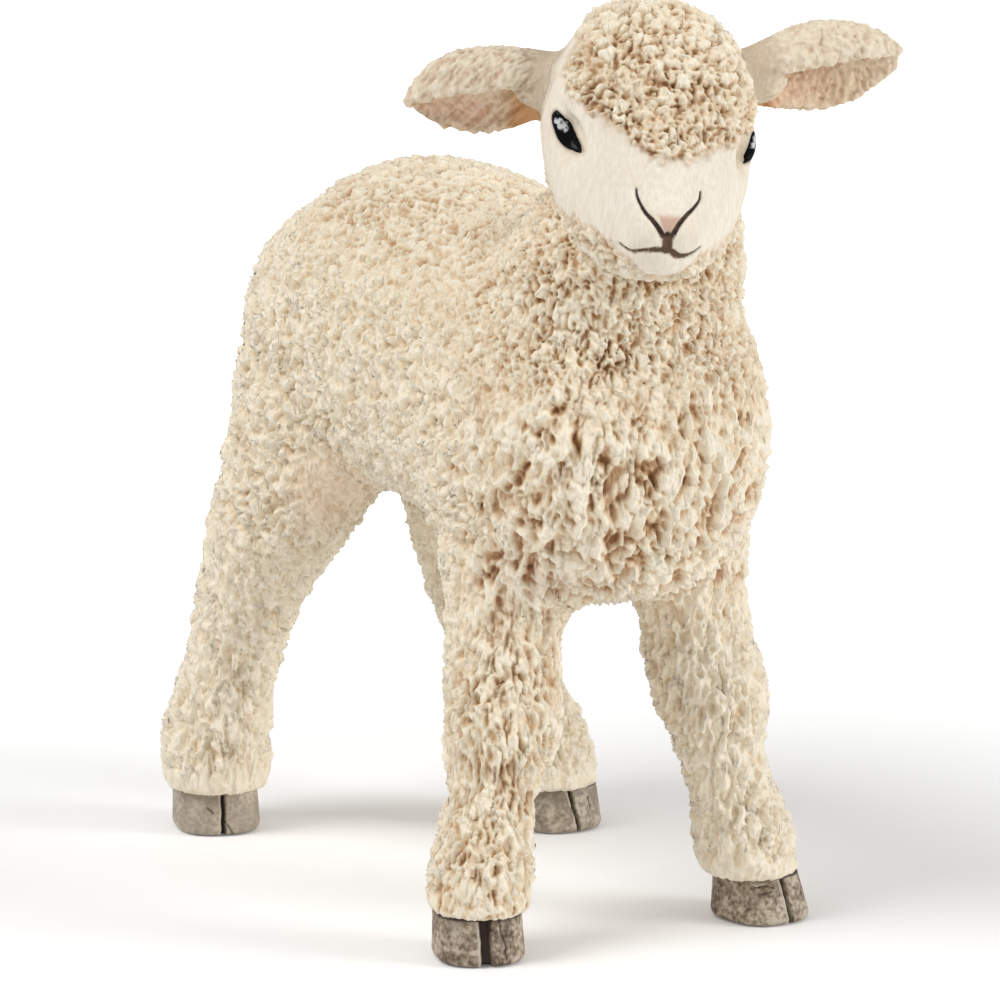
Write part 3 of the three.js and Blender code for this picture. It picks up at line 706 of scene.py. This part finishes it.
# The raised rim round each eye, in mm, and the hair of the face
RIM_HEIGHT = 0.07
RIM_OUT = 0.1
RIM_HALF = 0.12
STRAND_HEIGHT = 0.02

front = ramp(-5.5, -6.8, h[:, 1]) * on_head
flat = h[:, [0, 2]]
lines = np.zeros(len(points))
near_front = np.flatnonzero(front > 0.01)
deep = np.zeros(len(near_front))
worn = LINE_WORN * noise(h[near_front] / 0.2, 81)
for line, widths in LINES:
    gap, along = to_line(flat[near_front], line)
    half = np.interp(along, np.linspace(0, 1, len(widths)), widths) + worn
    deep = np.maximum(deep, np.exp(-(gap / (half + LINE_SLOPE)) ** 2))
    lines[near_front] = np.maximum(lines[near_front], ramp(half + 0.035, half - 0.03, gap))
for across, up, half_width, half_height, height in FORMS:
    form = np.exp(-((h[:, 0] - across) / half_width) ** 2 - ((h[:, 2] - up) / half_height) ** 2)
    rise += height * (front * form)
rise[near_front] -= LINE_DEPTH * deep * front[near_front]
lines *= front
low_lines = ramp(-0.85, -1.1, h[:, 2])

rim = np.zeros(len(points))
for side in (-1, 1):
    local = in_eye(h, side)
    close = np.flatnonzero((np.abs(local) < [2.6, 1.8, 1.9]).all(1))
    ring = own_size(np.concatenate([EYE_RING, EYE_RING[:1]]), side)
    gap = to_line(local[close][:, [0, 2]], ring)[0]
    rise[close] += RIM_HEIGHT * np.exp(-((gap - RIM_OUT) / RIM_HALF) ** 2)
    rim[close] = np.maximum(rim[close], np.exp(-(gap / RIM_HALF) ** 2))

rise += STRAND_HEIGHT * face * noise(h / [0.16, 0.3, 0.7], 71)

# The ears' hair strokes: which way they run, their width and length in mm, and their seed

RIGHT_STROKES = ([-0.5, 0.25, -0.83], 0.28, 2.2, 73)
LEFT_STROKES = ([0.55, 0.1, -0.83], 0.32, 2.6, 75)
EAR_HAIR_HEIGHT = 0.11
EAR_ROOT_HAIR = 0.55


def strokes(at, along, wide, long, seed):
    """Fine ridges that run along a direction, from 0 to 1."""
    along = np.array(along) / np.linalg.norm(along)
    run = at @ along
    q = (at - run[:, None] * along) / wide + (run / long)[:, None] * along
    return np.clip(1 - np.abs(noise(q, seed)) * 2.2, 0, 1)


of_ears = np.flatnonzero(ear > 0.01)
at_ears = h[of_ears]
right_side = at_ears[:, 0] < 0
hair = np.where(right_side, strokes(at_ears, *RIGHT_STROKES), strokes(at_ears, *LEFT_STROKES))
out_from = np.abs(at_ears[:, 0]) - 5.5
behind = at_ears[:, 1] - np.where(right_side, 2.3 + 0.42 * out_from, 1.3 + 0.1 * out_from)
facing = normals[of_ears] @ HEAD_AXES[:, 1]
hollow = np.zeros(len(points))
hollow[of_ears] = ear[of_ears] * ramp(-0.2, 0.5, behind) * ramp(0.1, -0.4, facing)
bumps = 0.65 + 0.5 * noise(at_ears / [0.3, 0.3, 0.22], 79)
hair = np.where(right_side, hair, bumps + hollow[of_ears] * (hair - bumps))
hair = EAR_ROOT_HAIR + ramp(4.9, 6.6, np.abs(at_ears[:, 0])) * (hair - EAR_ROOT_HAIR)
rise[of_ears] += EAR_HAIR_HEIGHT * ear[of_ears] * (hair - 0.45)
ridge[of_ears] += ear[of_ears] * hair

# Spots of washed-in tan with painted shade, where the front legs meet the chest, and spots of pink: their
# middle and size in mm, and the tan's strength
WASH_AND_SHADE_SPOTS = [((-5.2, -12.3, 18.8), (3.4, 3.0, 2.8), 1.0), ((5.2, -12.3, 18.5), (3.0, 3.0, 2.4), 0.5)]
CHEST_WASH_AND_SHADE = 0.55
PINK_SPOTS = [((-8.6, 4.9, -0.8), (2.1, 1.8, 1.0)), ((7.6, 2.2, 3.0), (1.8, 1.6, 1.2))]

v_half = 0.08 + 0.62 * (h[:, 2] + 0.95)  # half-width of the space between the nose lines
blush = front * ramp(1.15, 0.75, np.abs(h[:, 0] - 0.04) / np.maximum(v_half, 0.05))
blush *= ramp(0.05, -0.25, h[:, 2])
blush *= ramp(-1.1, -0.95, h[:, 2])
wash_and_shade = np.zeros(len(points))
for middle, size, strength in WASH_AND_SHADE_SPOTS:
    wash_and_shade += strength * blob(points, middle, size)
# Washed-in tan and painted shade in the chest's pits
wash_and_shade += CHEST_WASH_AND_SHADE * shares["chest"] * ramp(0.1, 0.7, noise(points / 2.6, 77))

pink = np.zeros(len(points))
for middle, size in PINK_SPOTS:
    pink = np.maximum(pink, hollow * blob(h, middle, size, 1.5))

# Where the wool would fold over itself, its height is evened out.
for _ in range(10):
    skin_points = points + normals * rise[:, None]
    a, b, c = skin_points[tri].transpose(1, 0, 2)
    facet = np.cross(b - a, c - a)
    facing = np.einsum("ij,ij->i", facet, normals[tri].sum(1))
    folded = facing < 0.5 * np.linalg.norm(facet, axis=1)
    if not folded.any():
        break
    spot = np.zeros(len(points))
    spot[tri[folded]] = 1
    spot = np.maximum(spot, ramp(0, 0.5, neighbour_mean(spot, edges)))
    rise += 0.9 * spot * (neighbour_mean(neighbour_mean(rise, edges), edges) - rise)

ATTRIBUTES = {"ridge": ridge, "bare": bare, "ear": ear, "lines": lines, "blush": blush, "wash_and_shade": wash_and_shade,
              "groin": groin, "rim": rim, "hollow": hollow, "pink": pink, "low_lines": low_lines}

FAN_DEPTH = 0.3  # how far inside the openings the middles of their fans lie, in mm


def caps(points, tri, inward):
    """Closes each opening of a piece with a fan to a point inside."""
    start, end = border_of(tri)
    follow = dict(zip(start.tolist(), end.tolist()))
    extra, fans = [], []
    while follow:
        first, step = next(iter(follow.items()))
        loop = [first]
        while step != first:
            loop.append(step)
            step = follow.pop(step)
        follow.pop(first)
        centre = len(points) + len(extra)
        middle = points[loop].mean(0)
        extra.append(middle + FAN_DEPTH * (inward - middle) / np.linalg.norm(inward - middle))
        fans += [(b, a, centre) for a, b in zip(loop, loop[1:] + loop[:1])]
    return np.array(extra).reshape(-1, 3), np.array(fans, np.int64).reshape(-1, 3)


def put(name, data):
    """A new object in the scene."""
    obj = bpy.data.objects.new(name, data)
    bpy.context.scene.collection.objects.link(obj)
    return obj


def piece(name, points, tri, attributes, material, replaced, ends=0):
    """A piece of the visual model. Its last triangles, as many as ends says, are the flat ones inside."""
    mesh = bpy.data.meshes.new(name)
    mesh.vertices.add(len(points))
    mesh.vertices.foreach_set("co", (points * MM).astype(np.float32).ravel())
    mesh.loops.add(len(tri) * 3)
    mesh.loops.foreach_set("vertex_index", tri.astype(np.int32).ravel())
    mesh.polygons.add(len(tri))
    mesh.polygons.foreach_set("loop_start", np.arange(0, len(tri) * 3, 3, dtype=np.int32))
    mesh.polygons.foreach_set("use_smooth", np.arange(len(tri)) < len(tri) - ends)
    for key, values in attributes.items():
        mesh.attributes.new(key, "FLOAT", "POINT").data.foreach_set("value", values.astype(np.float32))
    mesh.update(calc_edges=True)
    mesh.validate()
    obj = put(name, mesh)
    obj.data.materials.append(material)
    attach(obj, "root")
    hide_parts(*replaced)
    return obj


# Materials

def linear(code):
    """A colour written as rrggbb."""
    value = [int(code[k:k + 2], 16) / 255 for k in (0, 2, 4)]
    return [v / 12.92 if v <= 0.04045 else ((v + 0.055) / 1.055) ** 2.4 for v in value]


THREAD_HALF = 0.17  # how far the noise is from its middle at a thread's edge
THREAD_HEIGHT = 0.08 * MM


class Nodes:
    """Small helpers to build a material's node tree. A colour may be written as rrggbb."""

    def __init__(self, name, roughness=0.5):
        self.material = bpy.data.materials.new(name)
        self.material.use_nodes = True
        self.tree = self.material.node_tree
        self.shader = self.tree.nodes["Principled BSDF"]
        self.shader.inputs["Roughness"].default_value = roughness
        self.place = self.add("ShaderNodeTexCoord").outputs["Object"]

    def add(self, kind, inputs=None, **values):
        node = self.tree.nodes.new(kind)
        for key, value in values.items():
            setattr(node, key, value)
        for key, value in (inputs or {}).items():
            self.feed(node.inputs[key], value)
        return node

    def feed(self, socket, value):
        if isinstance(value, str):
            value = linear(value)
        if isinstance(value, bpy.types.NodeSocket):
            self.tree.links.new(value, socket)
        elif isinstance(value, (tuple, list)) and len(value) == 3 and socket.type == "RGBA":
            socket.default_value = (*value, 1)
        else:
            socket.default_value = value

    def math(self, operation, a, b=0.0, clamp=False):
        return self.add("ShaderNodeMath", {0: a, 1: b}, operation=operation, use_clamp=clamp).outputs[0]

    def times(self, a, b, clamp=False):
        return self.math("MULTIPLY", a, b, clamp)

    def plus(self, a, b):
        return self.math("ADD", a, b)

    def attribute(self, name):
        return self.add("ShaderNodeAttribute", attribute_name=name).outputs["Fac"]

    def noise(self, scale, detail=2.0, place=None):
        inputs = {"Vector": place or self.place, "Scale": scale, "Detail": detail}
        return self.add("ShaderNodeTexNoise", inputs).outputs["Fac"]

    def mix(self, share, a, b):
        return self.add("ShaderNodeMix", {"Factor": share, 6: a, 7: b}, data_type="RGBA").outputs[2]

    def over(self, color, name, upper, share=1.0):
        """A colour laid over another, by an attribute."""
        return self.mix(self.times(self.attribute(name), share), color, upper)

    def steps(self, value, stops):
        """Colours from one stop to the next, by a value."""
        node = self.add("ShaderNodeValToRGB", {"Fac": value})
        elements = node.color_ramp.elements
        while len(elements) < len(stops):
            elements.new(0.5)
        for element, (at, code) in zip(elements, stops):
            element.position = at
            element.color = (*linear(code), 1)
        return node.outputs["Color"]

    def between(self, value, low, high):
        """From 0 at low to 1 at high, with soft ends."""
        inputs = {"Value": value, "From Min": low, "From Max": high}
        return self.add("ShaderNodeMapRange", inputs, interpolation_type="SMOOTHSTEP").outputs["Result"]

    def threads(self, scale, place):
        """Winding threads: 1 along their middles, 0 between them."""
        inputs = {"Vector": place, "Scale": scale, "Detail": 0.6, "Distortion": 0.3}
        value = self.add("ShaderNodeTexNoise", inputs).outputs["Fac"]
        off = self.math("ABSOLUTE", self.math("SUBTRACT", value, 0.5))
        return self.between(off, THREAD_HALF, 0.0)

    def stretched(self, scale, turn=None):
        """The object's places, turned back by a turn and then scaled along each axis."""
        place = self.place
        if turn is not None:
            node = self.add("ShaderNodeVectorRotate", {"Vector": place, "Rotation": turn},
                            rotation_type="EULER_XYZ", invert=True)
            place = node.outputs["Vector"]
        return self.add("ShaderNodeVectorMath", {0: place, 1: scale}, operation="MULTIPLY").outputs[0]

    def bump(self, height, distance, strength):
        inputs = {"Height": height, "Distance": distance, "Strength": strength}
        self.feed(self.shader.inputs["Normal"], self.add("ShaderNodeBump", inputs).outputs["Normal"])

    def finish(self, color, roughness=None):
        self.feed(self.shader.inputs["Base Color"], color)
        if roughness is not None:
            self.feed(self.shader.inputs["Roughness"], roughness)
        return self.material


def coat(name, with_face):
    """Cream paint on the ridges, with tan paint washed into the pits; their darker tan is also painted
    shade.
    """
    n = Nodes(name)
    ridge = n.attribute("ridge")
    patch = n.noise(420, 3)
    thread = n.threads(2300, n.stretched((1, 1, 0.5)))
    hair = n.threads(5200, n.stretched((1, 1, 0.6)))
    level = ridge
    for detail, middle, weight in ((patch, 0.5, 0.3), (thread, 0.35, 0.14), (hair, 0.35, 0.05)):
        level = n.plus(level, n.times(n.math("SUBTRACT", detail, middle), weight))
    # Darker tan in the pits: the toy's washed-in paint, and painted shade
    color = n.steps(level, [
        (0.0, "9a7049"), (0.26, "c9a47c"), (0.48, "e4ceae"), (0.72, "f3e4c9"), (1.0, "fbf1dc")])
    # Darker tan, mostly in the pits, of the chest and where the front legs meet it: washed-in paint and
    # painted shade
    pit = n.between(ridge, 0.75, 0.1)
    wash_and_shade = n.times(n.attribute("wash_and_shade"), n.plus(n.times(pit, 0.6), 0.1), True)
    color = n.mix(wash_and_shade, color, "b98a6a")
    color = n.over(color, "groin", "e6cbad", 0.6)
    height = n.plus(n.times(thread, 0.8), n.times(hair, 0.2))
    if with_face:
        turn = HEAD_TURN.to_euler("XYZ")
        streaks = n.noise(1.0, 3, n.stretched((7600, 4200, 1300), turn))
        soft = n.noise(500, 2)
        skin = n.mix(n.between(streaks, 0.3, 0.7), "e8decb", "f4ebdc")
        skin = n.mix(n.times(n.between(soft, 0.35, 0.75), 0.35), skin, "e6d6bd")
        furry = n.mix(n.plus(ridge, n.times(n.math("SUBTRACT", streaks, 0.5), 0.6)), "a58c6f", "e0d2bb")
        skin = n.over(skin, "ear", furry)
        skin = n.over(skin, "hollow", n.mix(ridge, "a0683a", "e2b27e"))
        skin = n.over(skin, "pink", "dd8d72", 0.95)
        color = n.over(color, "bare", skin)
        color = n.over(color, "blush", "c9a38c", 0.85)
        color = n.over(color, "rim", "8d7867", 0.5)
        ink = n.mix(n.attribute("low_lines"), "2b120a", "5a432e")
        ink = n.mix(n.times(n.between(n.noise(3500, 2), 0.45, 0.75), 0.3), ink, "86644a")
        color = n.over(color, "lines", ink)
        height = n.mix(n.attribute("bare"), height, n.times(streaks, 0.45))
    n.bump(height, THREAD_HEIGHT, 0.85)
    return n.finish(color, n.math("SUBTRACT", 0.8, n.times(ridge, 0.1)))


fleece_coat = coat("fleece_coat", False)
skin_coat = coat("skin_coat", True)

# The pieces of the skin

for k, name in enumerate(PARTS):
    of_part = tri[part == k]
    used, local = np.unique(of_part, return_inverse=True)
    local = local.reshape(-1, 3)
    place = skin_points[used]
    extra, fans = caps(place, local, place.mean(0))
    values = {}
    of_head = name in ("head", *EARS)
    for key, value in ATTRIBUTES.items():
        if of_head or key in ("ridge", "wash_and_shade", "groin"):
            values[key] = np.concatenate([value[used], np.zeros(len(extra))])
    node = "torso" if name in TORSO_PARTS else name
    slot = "skin" if of_head else "fleece"
    piece(f"{name}_{slot}", np.concatenate([place, extra]), np.concatenate([local, fans]), values,
          skin_coat if of_head else fleece_coat, [node], len(fans))


# Eyes: a glossy almond bead in each socket, in mm

EYE_MIDDLE = np.array([0.68, -0.8])
EYE_STAND = 0.03
EYE_DOME = 0.24
EYE_ROOT = 0.15
EYE_RINGS = 22
# The white reflection painted on each eye
SHINE_MIDDLE = np.array([1.1, -0.62])
SHINE_SIZE = np.array([0.5, 0.2])
SHINE_LEAN = -0.1


def from_eye(local, side):
    """Places in the row's frame, in mm, from places in an eye's own."""
    origin, axes = eye_frame(side)
    return (origin + local @ axes.T) @ HEAD_AXES.T + HEAD_MIDDLE


def skin_depth(flat, side):
    """Where the smooth skin lies behind each point of the eye's plane."""
    depth = np.full(len(flat), -0.3)
    inward = from_eye(np.array([[0, 1.0, 0]]), side) - from_eye(np.zeros((1, 3)), side)
    for _ in range(6):
        value, grad = whole.read(from_eye(np.stack([flat[:, 0], depth, flat[:, 1]], 1), side), slope=True)
        depth = depth + np.clip(value / np.maximum(-grad @ inward[0], 0.3), -0.4, 0.4)
    return depth


def fan_and_rings(rings):
    """Triangles of a closed form: a middle point, rings of equal count, and a last middle point."""
    count = len(rings[0])
    start = 1 + count * np.arange(len(rings))
    k = np.arange(count)
    nxt = (k + 1) % count
    tri = [np.stack([np.zeros(count, int), start[0] + k, start[0] + nxt], 1)]
    for a, b in zip(start[:-1], start[1:]):
        tri.append(np.stack([a + k, b + k, b + nxt], 1))
        tri.append(np.stack([a + k, b + nxt, a + nxt], 1))
    last = start[-1] + count
    tri.append(np.stack([start[-1] + k, np.full(count, last), start[-1] + nxt], 1))
    return np.concatenate(tri)


def eye(name, side):
    r = np.sin(np.linspace(0, 1, EYE_RINGS + 1)[1:] * math.pi / 2)
    outline, centre = own_size(EYE_RING, side), own_size(EYE_MIDDLE, side)
    flat = [centre + k * (outline - centre) for k in r]
    height = [EYE_STAND + EYE_DOME * math.sqrt(max(0, 1 - k * k)) for k in r]
    flat.append(outline)
    height.append(-EYE_ROOT)
    depth = [skin_depth(f, side) for f in flat]
    middle = skin_depth(centre[None], side)
    rings = [np.stack([f[:, 0], d - up, f[:, 1]], 1) for f, d, up in zip(flat, depth, height)]
    first = np.array([[centre[0], middle[0] - EYE_STAND - EYE_DOME, centre[1]]])
    last = np.array([[centre[0], middle[0] + EYE_ROOT, centre[1]]])
    local = np.concatenate([first, *rings, last])
    q = local[:, [0, 2]] - own_size(SHINE_MIDDLE, side)
    q = np.stack([q[:, 0], q[:, 1] + SHINE_LEAN * q[:, 0]], 1) / SHINE_SIZE
    shine = ramp(1.0, 0.55, np.linalg.norm(q, axis=1) + 0.5 * noise(local / 0.22, 91))
    place = from_eye(local, side)
    tri = outward(place - place.mean(0), fan_and_rings(rings))
    return piece(name + "_bead", place, tri, {"shine": shine}, eye_paint, [name])


n = Nodes("eye_gloss", 0.12)
n.shader.inputs["Specular IOR Level"].default_value = 0.1
shine = n.times(n.attribute("shine"), n.between(n.noise(5200, 2), 0.28, 0.5))
eye_paint = n.finish(n.mix(n.times(shine, 0.85), (0.004, 0.004, 0.005), (0.75, 0.76, 0.78)))
eye("left_eye", 1)
eye("right_eye", -1)

# Hooves: a cloven wall, with the lines and the worn paint of each, painted shade in its cleft, cracks and
# top under the cuff, and painted light on the hind ones

HOOF_ROWS = 44
SOLE_ROWS = 12
HOOF_COLUMNS = 300
# Sizes in mm
HOOF_TOP = 2.42
HOOF_HALF = np.array([2.3, 2.5])
HOOF_SQUARE = 0.8  # 1 for an oval outline, and less for a squarer one
SOLE_ROUND = 0.45
TOE_SLOPE = 0.19
USUAL_INSET = 0.12  # how far the wall leans in by its top
TOP_INSET = {"front_left_hoof": 0.42}
CLEFT_DEPTH = 0.42
CLEFT_EDGE = 0.05  # how far the cleft's edges stand out
CRACK_DEPTH = 0.07
CRACK_HALF = 0.055
HEEL_DEPTH = 0.3
WAVE_HEIGHT = 0.018
GRAIN_DEPTH = 0.02
# Painted shade: the top of each hoof, under the wool's cuff, is painted dark.
DARK_TOP = (HOOF_TOP - 0.22, HOOF_TOP - 0.1)
# Each hoof's turn about Z, in degrees
HOOF_TURN = {"front_left_hoof": 8, "front_right_hoof": -20, "hind_left_hoof": 0, "hind_right_hoof": -18}
# Each hoof's cleft, its place and width from top to sole, and its thin cracks, across and up
CLEFTS = {
    "front_right_hoof": ([(-0.05, 0.62), (0.0, 0.5), (0.05, 0.62)],
                         [[(0.75, 2.3), (0.8, 1.7), (1.1, 0.9), (1.0, 0.75), (1.1, 0.3)]]),
    "front_left_hoof": ([(-0.05, 0.3), (0.0, 0.26), (0.1, 0.34)],
                        [[(-1.9, 1.9), (-1.2, 2.0), (-0.7, 1.85)], [(-1.5, 1.6), (-0.9, 1.7)]]),
    "hind_right_hoof": ([(0.0, 0.2), (0.0, 0.2), (-0.05, 0.26)],
                        [[(0.0, 0.9), (0.35, 0.3), (0.5, 0.1)], [(-0.9, 1.5), (-0.6, 1.2)]]),
    "hind_left_hoof": ([(-0.35, 0.22), (-0.1, 0.16), (0.1, 0.2)],
                       [[(-0.35, 2.2), (-0.15, 1.7), (-0.3, 1.3), (0.0, 0.7)], [(0.9, 1.8), (1.0, 1.1)]]),
}
# Painted light: the hind hooves are painted paler, standing in for light on them.
HOOF_PAINTED_LIGHT = {"hind_right_hoof": 0.5, "hind_left_hoof": 0.3}  # how much paler the paint of a hoof is


def hoof(name, seed):
    """A hoof over the place and turn of its solid, in rings from the sole up."""
    co, _ = mesh_of(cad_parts[name])
    angle = math.radians(HOOF_TURN[name])
    turn = np.eye(3)
    turn[:2, :2] = [[math.cos(angle), -math.sin(angle)], [math.sin(angle), math.cos(angle)]]
    low = (co @ turn)[co[:, 2] < 0.5]
    centre = (low.max(0) + low.min(0)) / 2
    centre[2] = 0
    angles = np.linspace(0, 2 * math.pi, 2000)[:-1] - math.pi / 2
    circle = np.stack([np.cos(angles), np.sin(angles)], 1)
    outline = np.sign(circle) * np.abs(circle) ** HOOF_SQUARE * HOOF_HALF
    closed = np.concatenate([outline, outline[:1]])
    run = lengths(closed)
    around = np.arange(HOOF_COLUMNS) / HOOF_COLUMNS * run[-1]
    wall = np.stack([np.interp(around, run, closed[:, k]) for k in (0, 1)], 1)
    s = np.where(around > run[-1] / 2, around - run[-1], around)
    out = wall / np.linalg.norm(wall, axis=1, keepdims=True)
    cleft, cracks = CLEFTS[name]
    rings, dark, pale = [], [], []
    sole_levels = np.linspace(0, SOLE_ROUND, SOLE_ROWS)[:-1]
    for up in [*sole_levels, *np.linspace(SOLE_ROUND, HOOF_TOP, HOOF_ROWS - SOLE_ROWS)]:
        share = up / HOOF_TOP
        round_in = SOLE_ROUND - math.sqrt(max(0, SOLE_ROUND ** 2 - max(0, SOLE_ROUND - up) ** 2))
        inset = round_in * 0.9 + TOP_INSET.get(name, USUAL_INSET) * share
        level = np.full(len(s), up)
        rough = np.stack([wall[:, 0], wall[:, 1], level], 1)
        wave = noise(rough / 0.35, seed) * 0.5 + noise(rough / 0.14, seed + 1) * 0.5
        middle = np.interp(1 - share, [0, 0.5, 1], [c[0] for c in cleft])
        middle = middle + 0.04 * noise(rough / 0.5, seed + 2)
        width = np.interp(1 - share, [0, 0.5, 1], [c[1] for c in cleft])
        gap = np.abs(s - middle) - width / 2
        slot = ramp(0.05, -0.05, gap)
        flat = np.stack([s, level], 1) + 0.03 * wave[:, None]
        thin = np.min([to_line(flat, np.array(c))[0] for c in cracks], axis=0)
        crack = np.exp(-(thin / CRACK_HALF) ** 2)
        heel = ramp(0.55, 0.0, run[-1] / 2 - np.abs(s))
        inset = inset + CLEFT_DEPTH * slot + CRACK_DEPTH * crack + HEEL_DEPTH * heel
        inset = inset - CLEFT_EDGE * np.exp(-((gap - 0.08) / 0.09) ** 2)
        grain = ramp(0, 1, noise(rough / [0.2, 0.2, 0.9], seed + 3))
        inset = inset - WAVE_HEIGHT * wave + GRAIN_DEPTH * grain
        ring = wall - out * inset[:, None]
        rings.append(np.stack([ring[:, 0], ring[:, 1] + TOE_SLOPE * up, level], 1))
        # Painted shade: the cleft, the cracks and the top under the cuff are painted dark.
        dark.append(np.maximum.reduce([slot, ramp(0.4, 0.8, crack), ramp(*DARK_TOP, level)]))
        # Paler paint beside one edge of the cleft, and over the hind hooves as painted light
        pale.append(np.maximum(np.exp(-((gap - 0.1) / 0.08) ** 2) * (s < middle), HOOF_PAINTED_LIGHT.get(name, 0)))
    local = np.concatenate([[[0, 0, 0]], *rings, [[0, TOE_SLOPE * HOOF_TOP, HOOF_TOP]]])
    place = (local + centre) @ turn.T
    tri = outward(place - place.mean(0), fan_and_rings(rings))
    values = {key: np.concatenate([[0], *rows, [0]]) for key, rows in (("dark", dark), ("pale", pale))}
    return piece(name + "_horn", place, tri, values, hoof_paint, [name])


n = Nodes("hoof_horn")
mottle = n.noise(900, 4)
speck = n.noise(4200, 3)
smudge = n.noise(350, 2)
color = n.steps(n.plus(n.times(mottle, 0.5), n.times(speck, 0.52)), [
    (0.36, "3f3022"), (0.44, "776551"), (0.52, "a08f7b"), (0.6, "c6b9a6")])
color = n.mix(n.times(n.between(smudge, 0.45, 0.65), 0.55), color, "5f4e3d")
# Paler paint, on the hind hooves painted light
color = n.over(color, "pale", "cfc5b4", 0.8)
# Painted shade in the cleft, the cracks and under the cuff
color = n.over(color, "dark", "3a2b22")
n.bump(n.plus(speck, mottle), 0.05 * MM, 0.7)
hoof_paint = n.finish(color, n.plus(n.times(mottle, 0.3), 0.4))
for k, name in enumerate(HOOVES):
    hoof(name, 501 + 20 * k)

# Camera at the photograph's angle

AZIMUTH = math.radians(-30)
ELEVATION = math.radians(14)
DISTANCE = 0.42
SENSOR = 36
FOCAL = 8.106  # the focal length, in picture widths
FOOT_BELOW = 0.383  # how far below the picture's middle the foot lies, in picture widths

LEVEL = math.cos(ELEVATION)
BACK = Vector((math.sin(AZIMUTH) * LEVEL, -math.cos(AZIMUTH) * LEVEL, math.sin(ELEVATION)))
RIGHT = Vector((math.cos(AZIMUTH), math.sin(AZIMUTH), 0))
UP = BACK.cross(RIGHT)
FOOT = Vector((-0.629, 0.731, 0)) * MM
CAMERA = FOOT + BACK * DISTANCE
AIM = FOOT + UP * (FOOT_BELOW / FOCAL * DISTANCE)


def aimed(obj, place, at):
    """Stands an object at a place, looking at another."""
    obj.location = place
    obj.rotation_mode = "QUATERNION"
    obj.rotation_quaternion = (Vector(place) - at).to_track_quat("Z", "Y")


camera_data = bpy.data.cameras.new("camera")
camera = put("camera", camera_data)
aimed(camera, CAMERA, AIM)
camera_data.sensor_width = SENSOR
camera_data.lens = FOCAL * SENSOR
camera_data.clip_start = 0.01
camera_data.clip_end = 20
bpy.context.scene.camera = camera

# Floor, world and lamps

SIDE = 6.0
SUNK = 0.05 * MM  # the floor lies this far under the hooves
WHITE = (1, 1, 1, 1)
# How much the floor glows near the lamb and away from it, and at which distances in metres
NEAR_GLOW = 0.1
FAR_GLOW = 0.55
NEAR_REACH = 0.03
FAR_REACH = 0.12
WORLD_STRENGTH = 0.4
# Each lamp's place and width in metres, and its power in watts
LAMPS = {
    "key": ((-0.45, 0.0, 0.57), 0.42, 2.6),
    "fill": ((0.36, -0.4, 0.22), 0.25, 1.4),
    "top": ((-0.05, -0.05, 0.6), 0.4, 0.2),
}
LAMPS_AIM = Vector((0, 0, 0.025))

floor_mesh = bpy.data.meshes.new("floor")
corners = [(-SIDE, -SIDE, 0), (SIDE, -SIDE, 0), (SIDE, SIDE, 0), (-SIDE, SIDE, 0)]
floor_mesh.from_pydata(corners, [], [(0, 1, 2, 3)])
floor = put("floor", floor_mesh)
floor.location.z = -SUNK
n = Nodes("floor_paint", 0.9)
n.shader.inputs["Base Color"].default_value = (0.97, 0.97, 0.97, 1)
# The camera sees the floor a little lighter away from the lamb, so that it is white where no shadow falls.
reach = n.add("ShaderNodeVectorMath", {0: n.place}, operation="LENGTH")
away = n.between(reach.outputs["Value"], NEAR_REACH, FAR_REACH)
glow = n.plus(NEAR_GLOW, n.times(away, FAR_GLOW - NEAR_GLOW))
seen = n.add("ShaderNodeLightPath").outputs["Is Camera Ray"]
n.feed(n.shader.inputs["Emission Strength"], n.times(seen, glow))
n.shader.inputs["Emission Color"].default_value = WHITE
floor_mesh.materials.append(n.material)

world = bpy.data.worlds.new("world")
bpy.context.scene.world = world
world.use_nodes = True
background = world.node_tree.nodes["Background"]
background.inputs["Color"].default_value = WHITE
background.inputs["Strength"].default_value = WORLD_STRENGTH


def lamp(name, place, size, energy):
    data = bpy.data.lights.new(name, "AREA")
    data.shape = "DISK"
    data.size = size
    data.energy = energy
    aimed(put(name, data), place, LAMPS_AIM)


for name, (place, size, energy) in LAMPS.items():
    lamp(name, place, size, energy)

bpy.context.scene.view_settings.view_transform = "Standard"
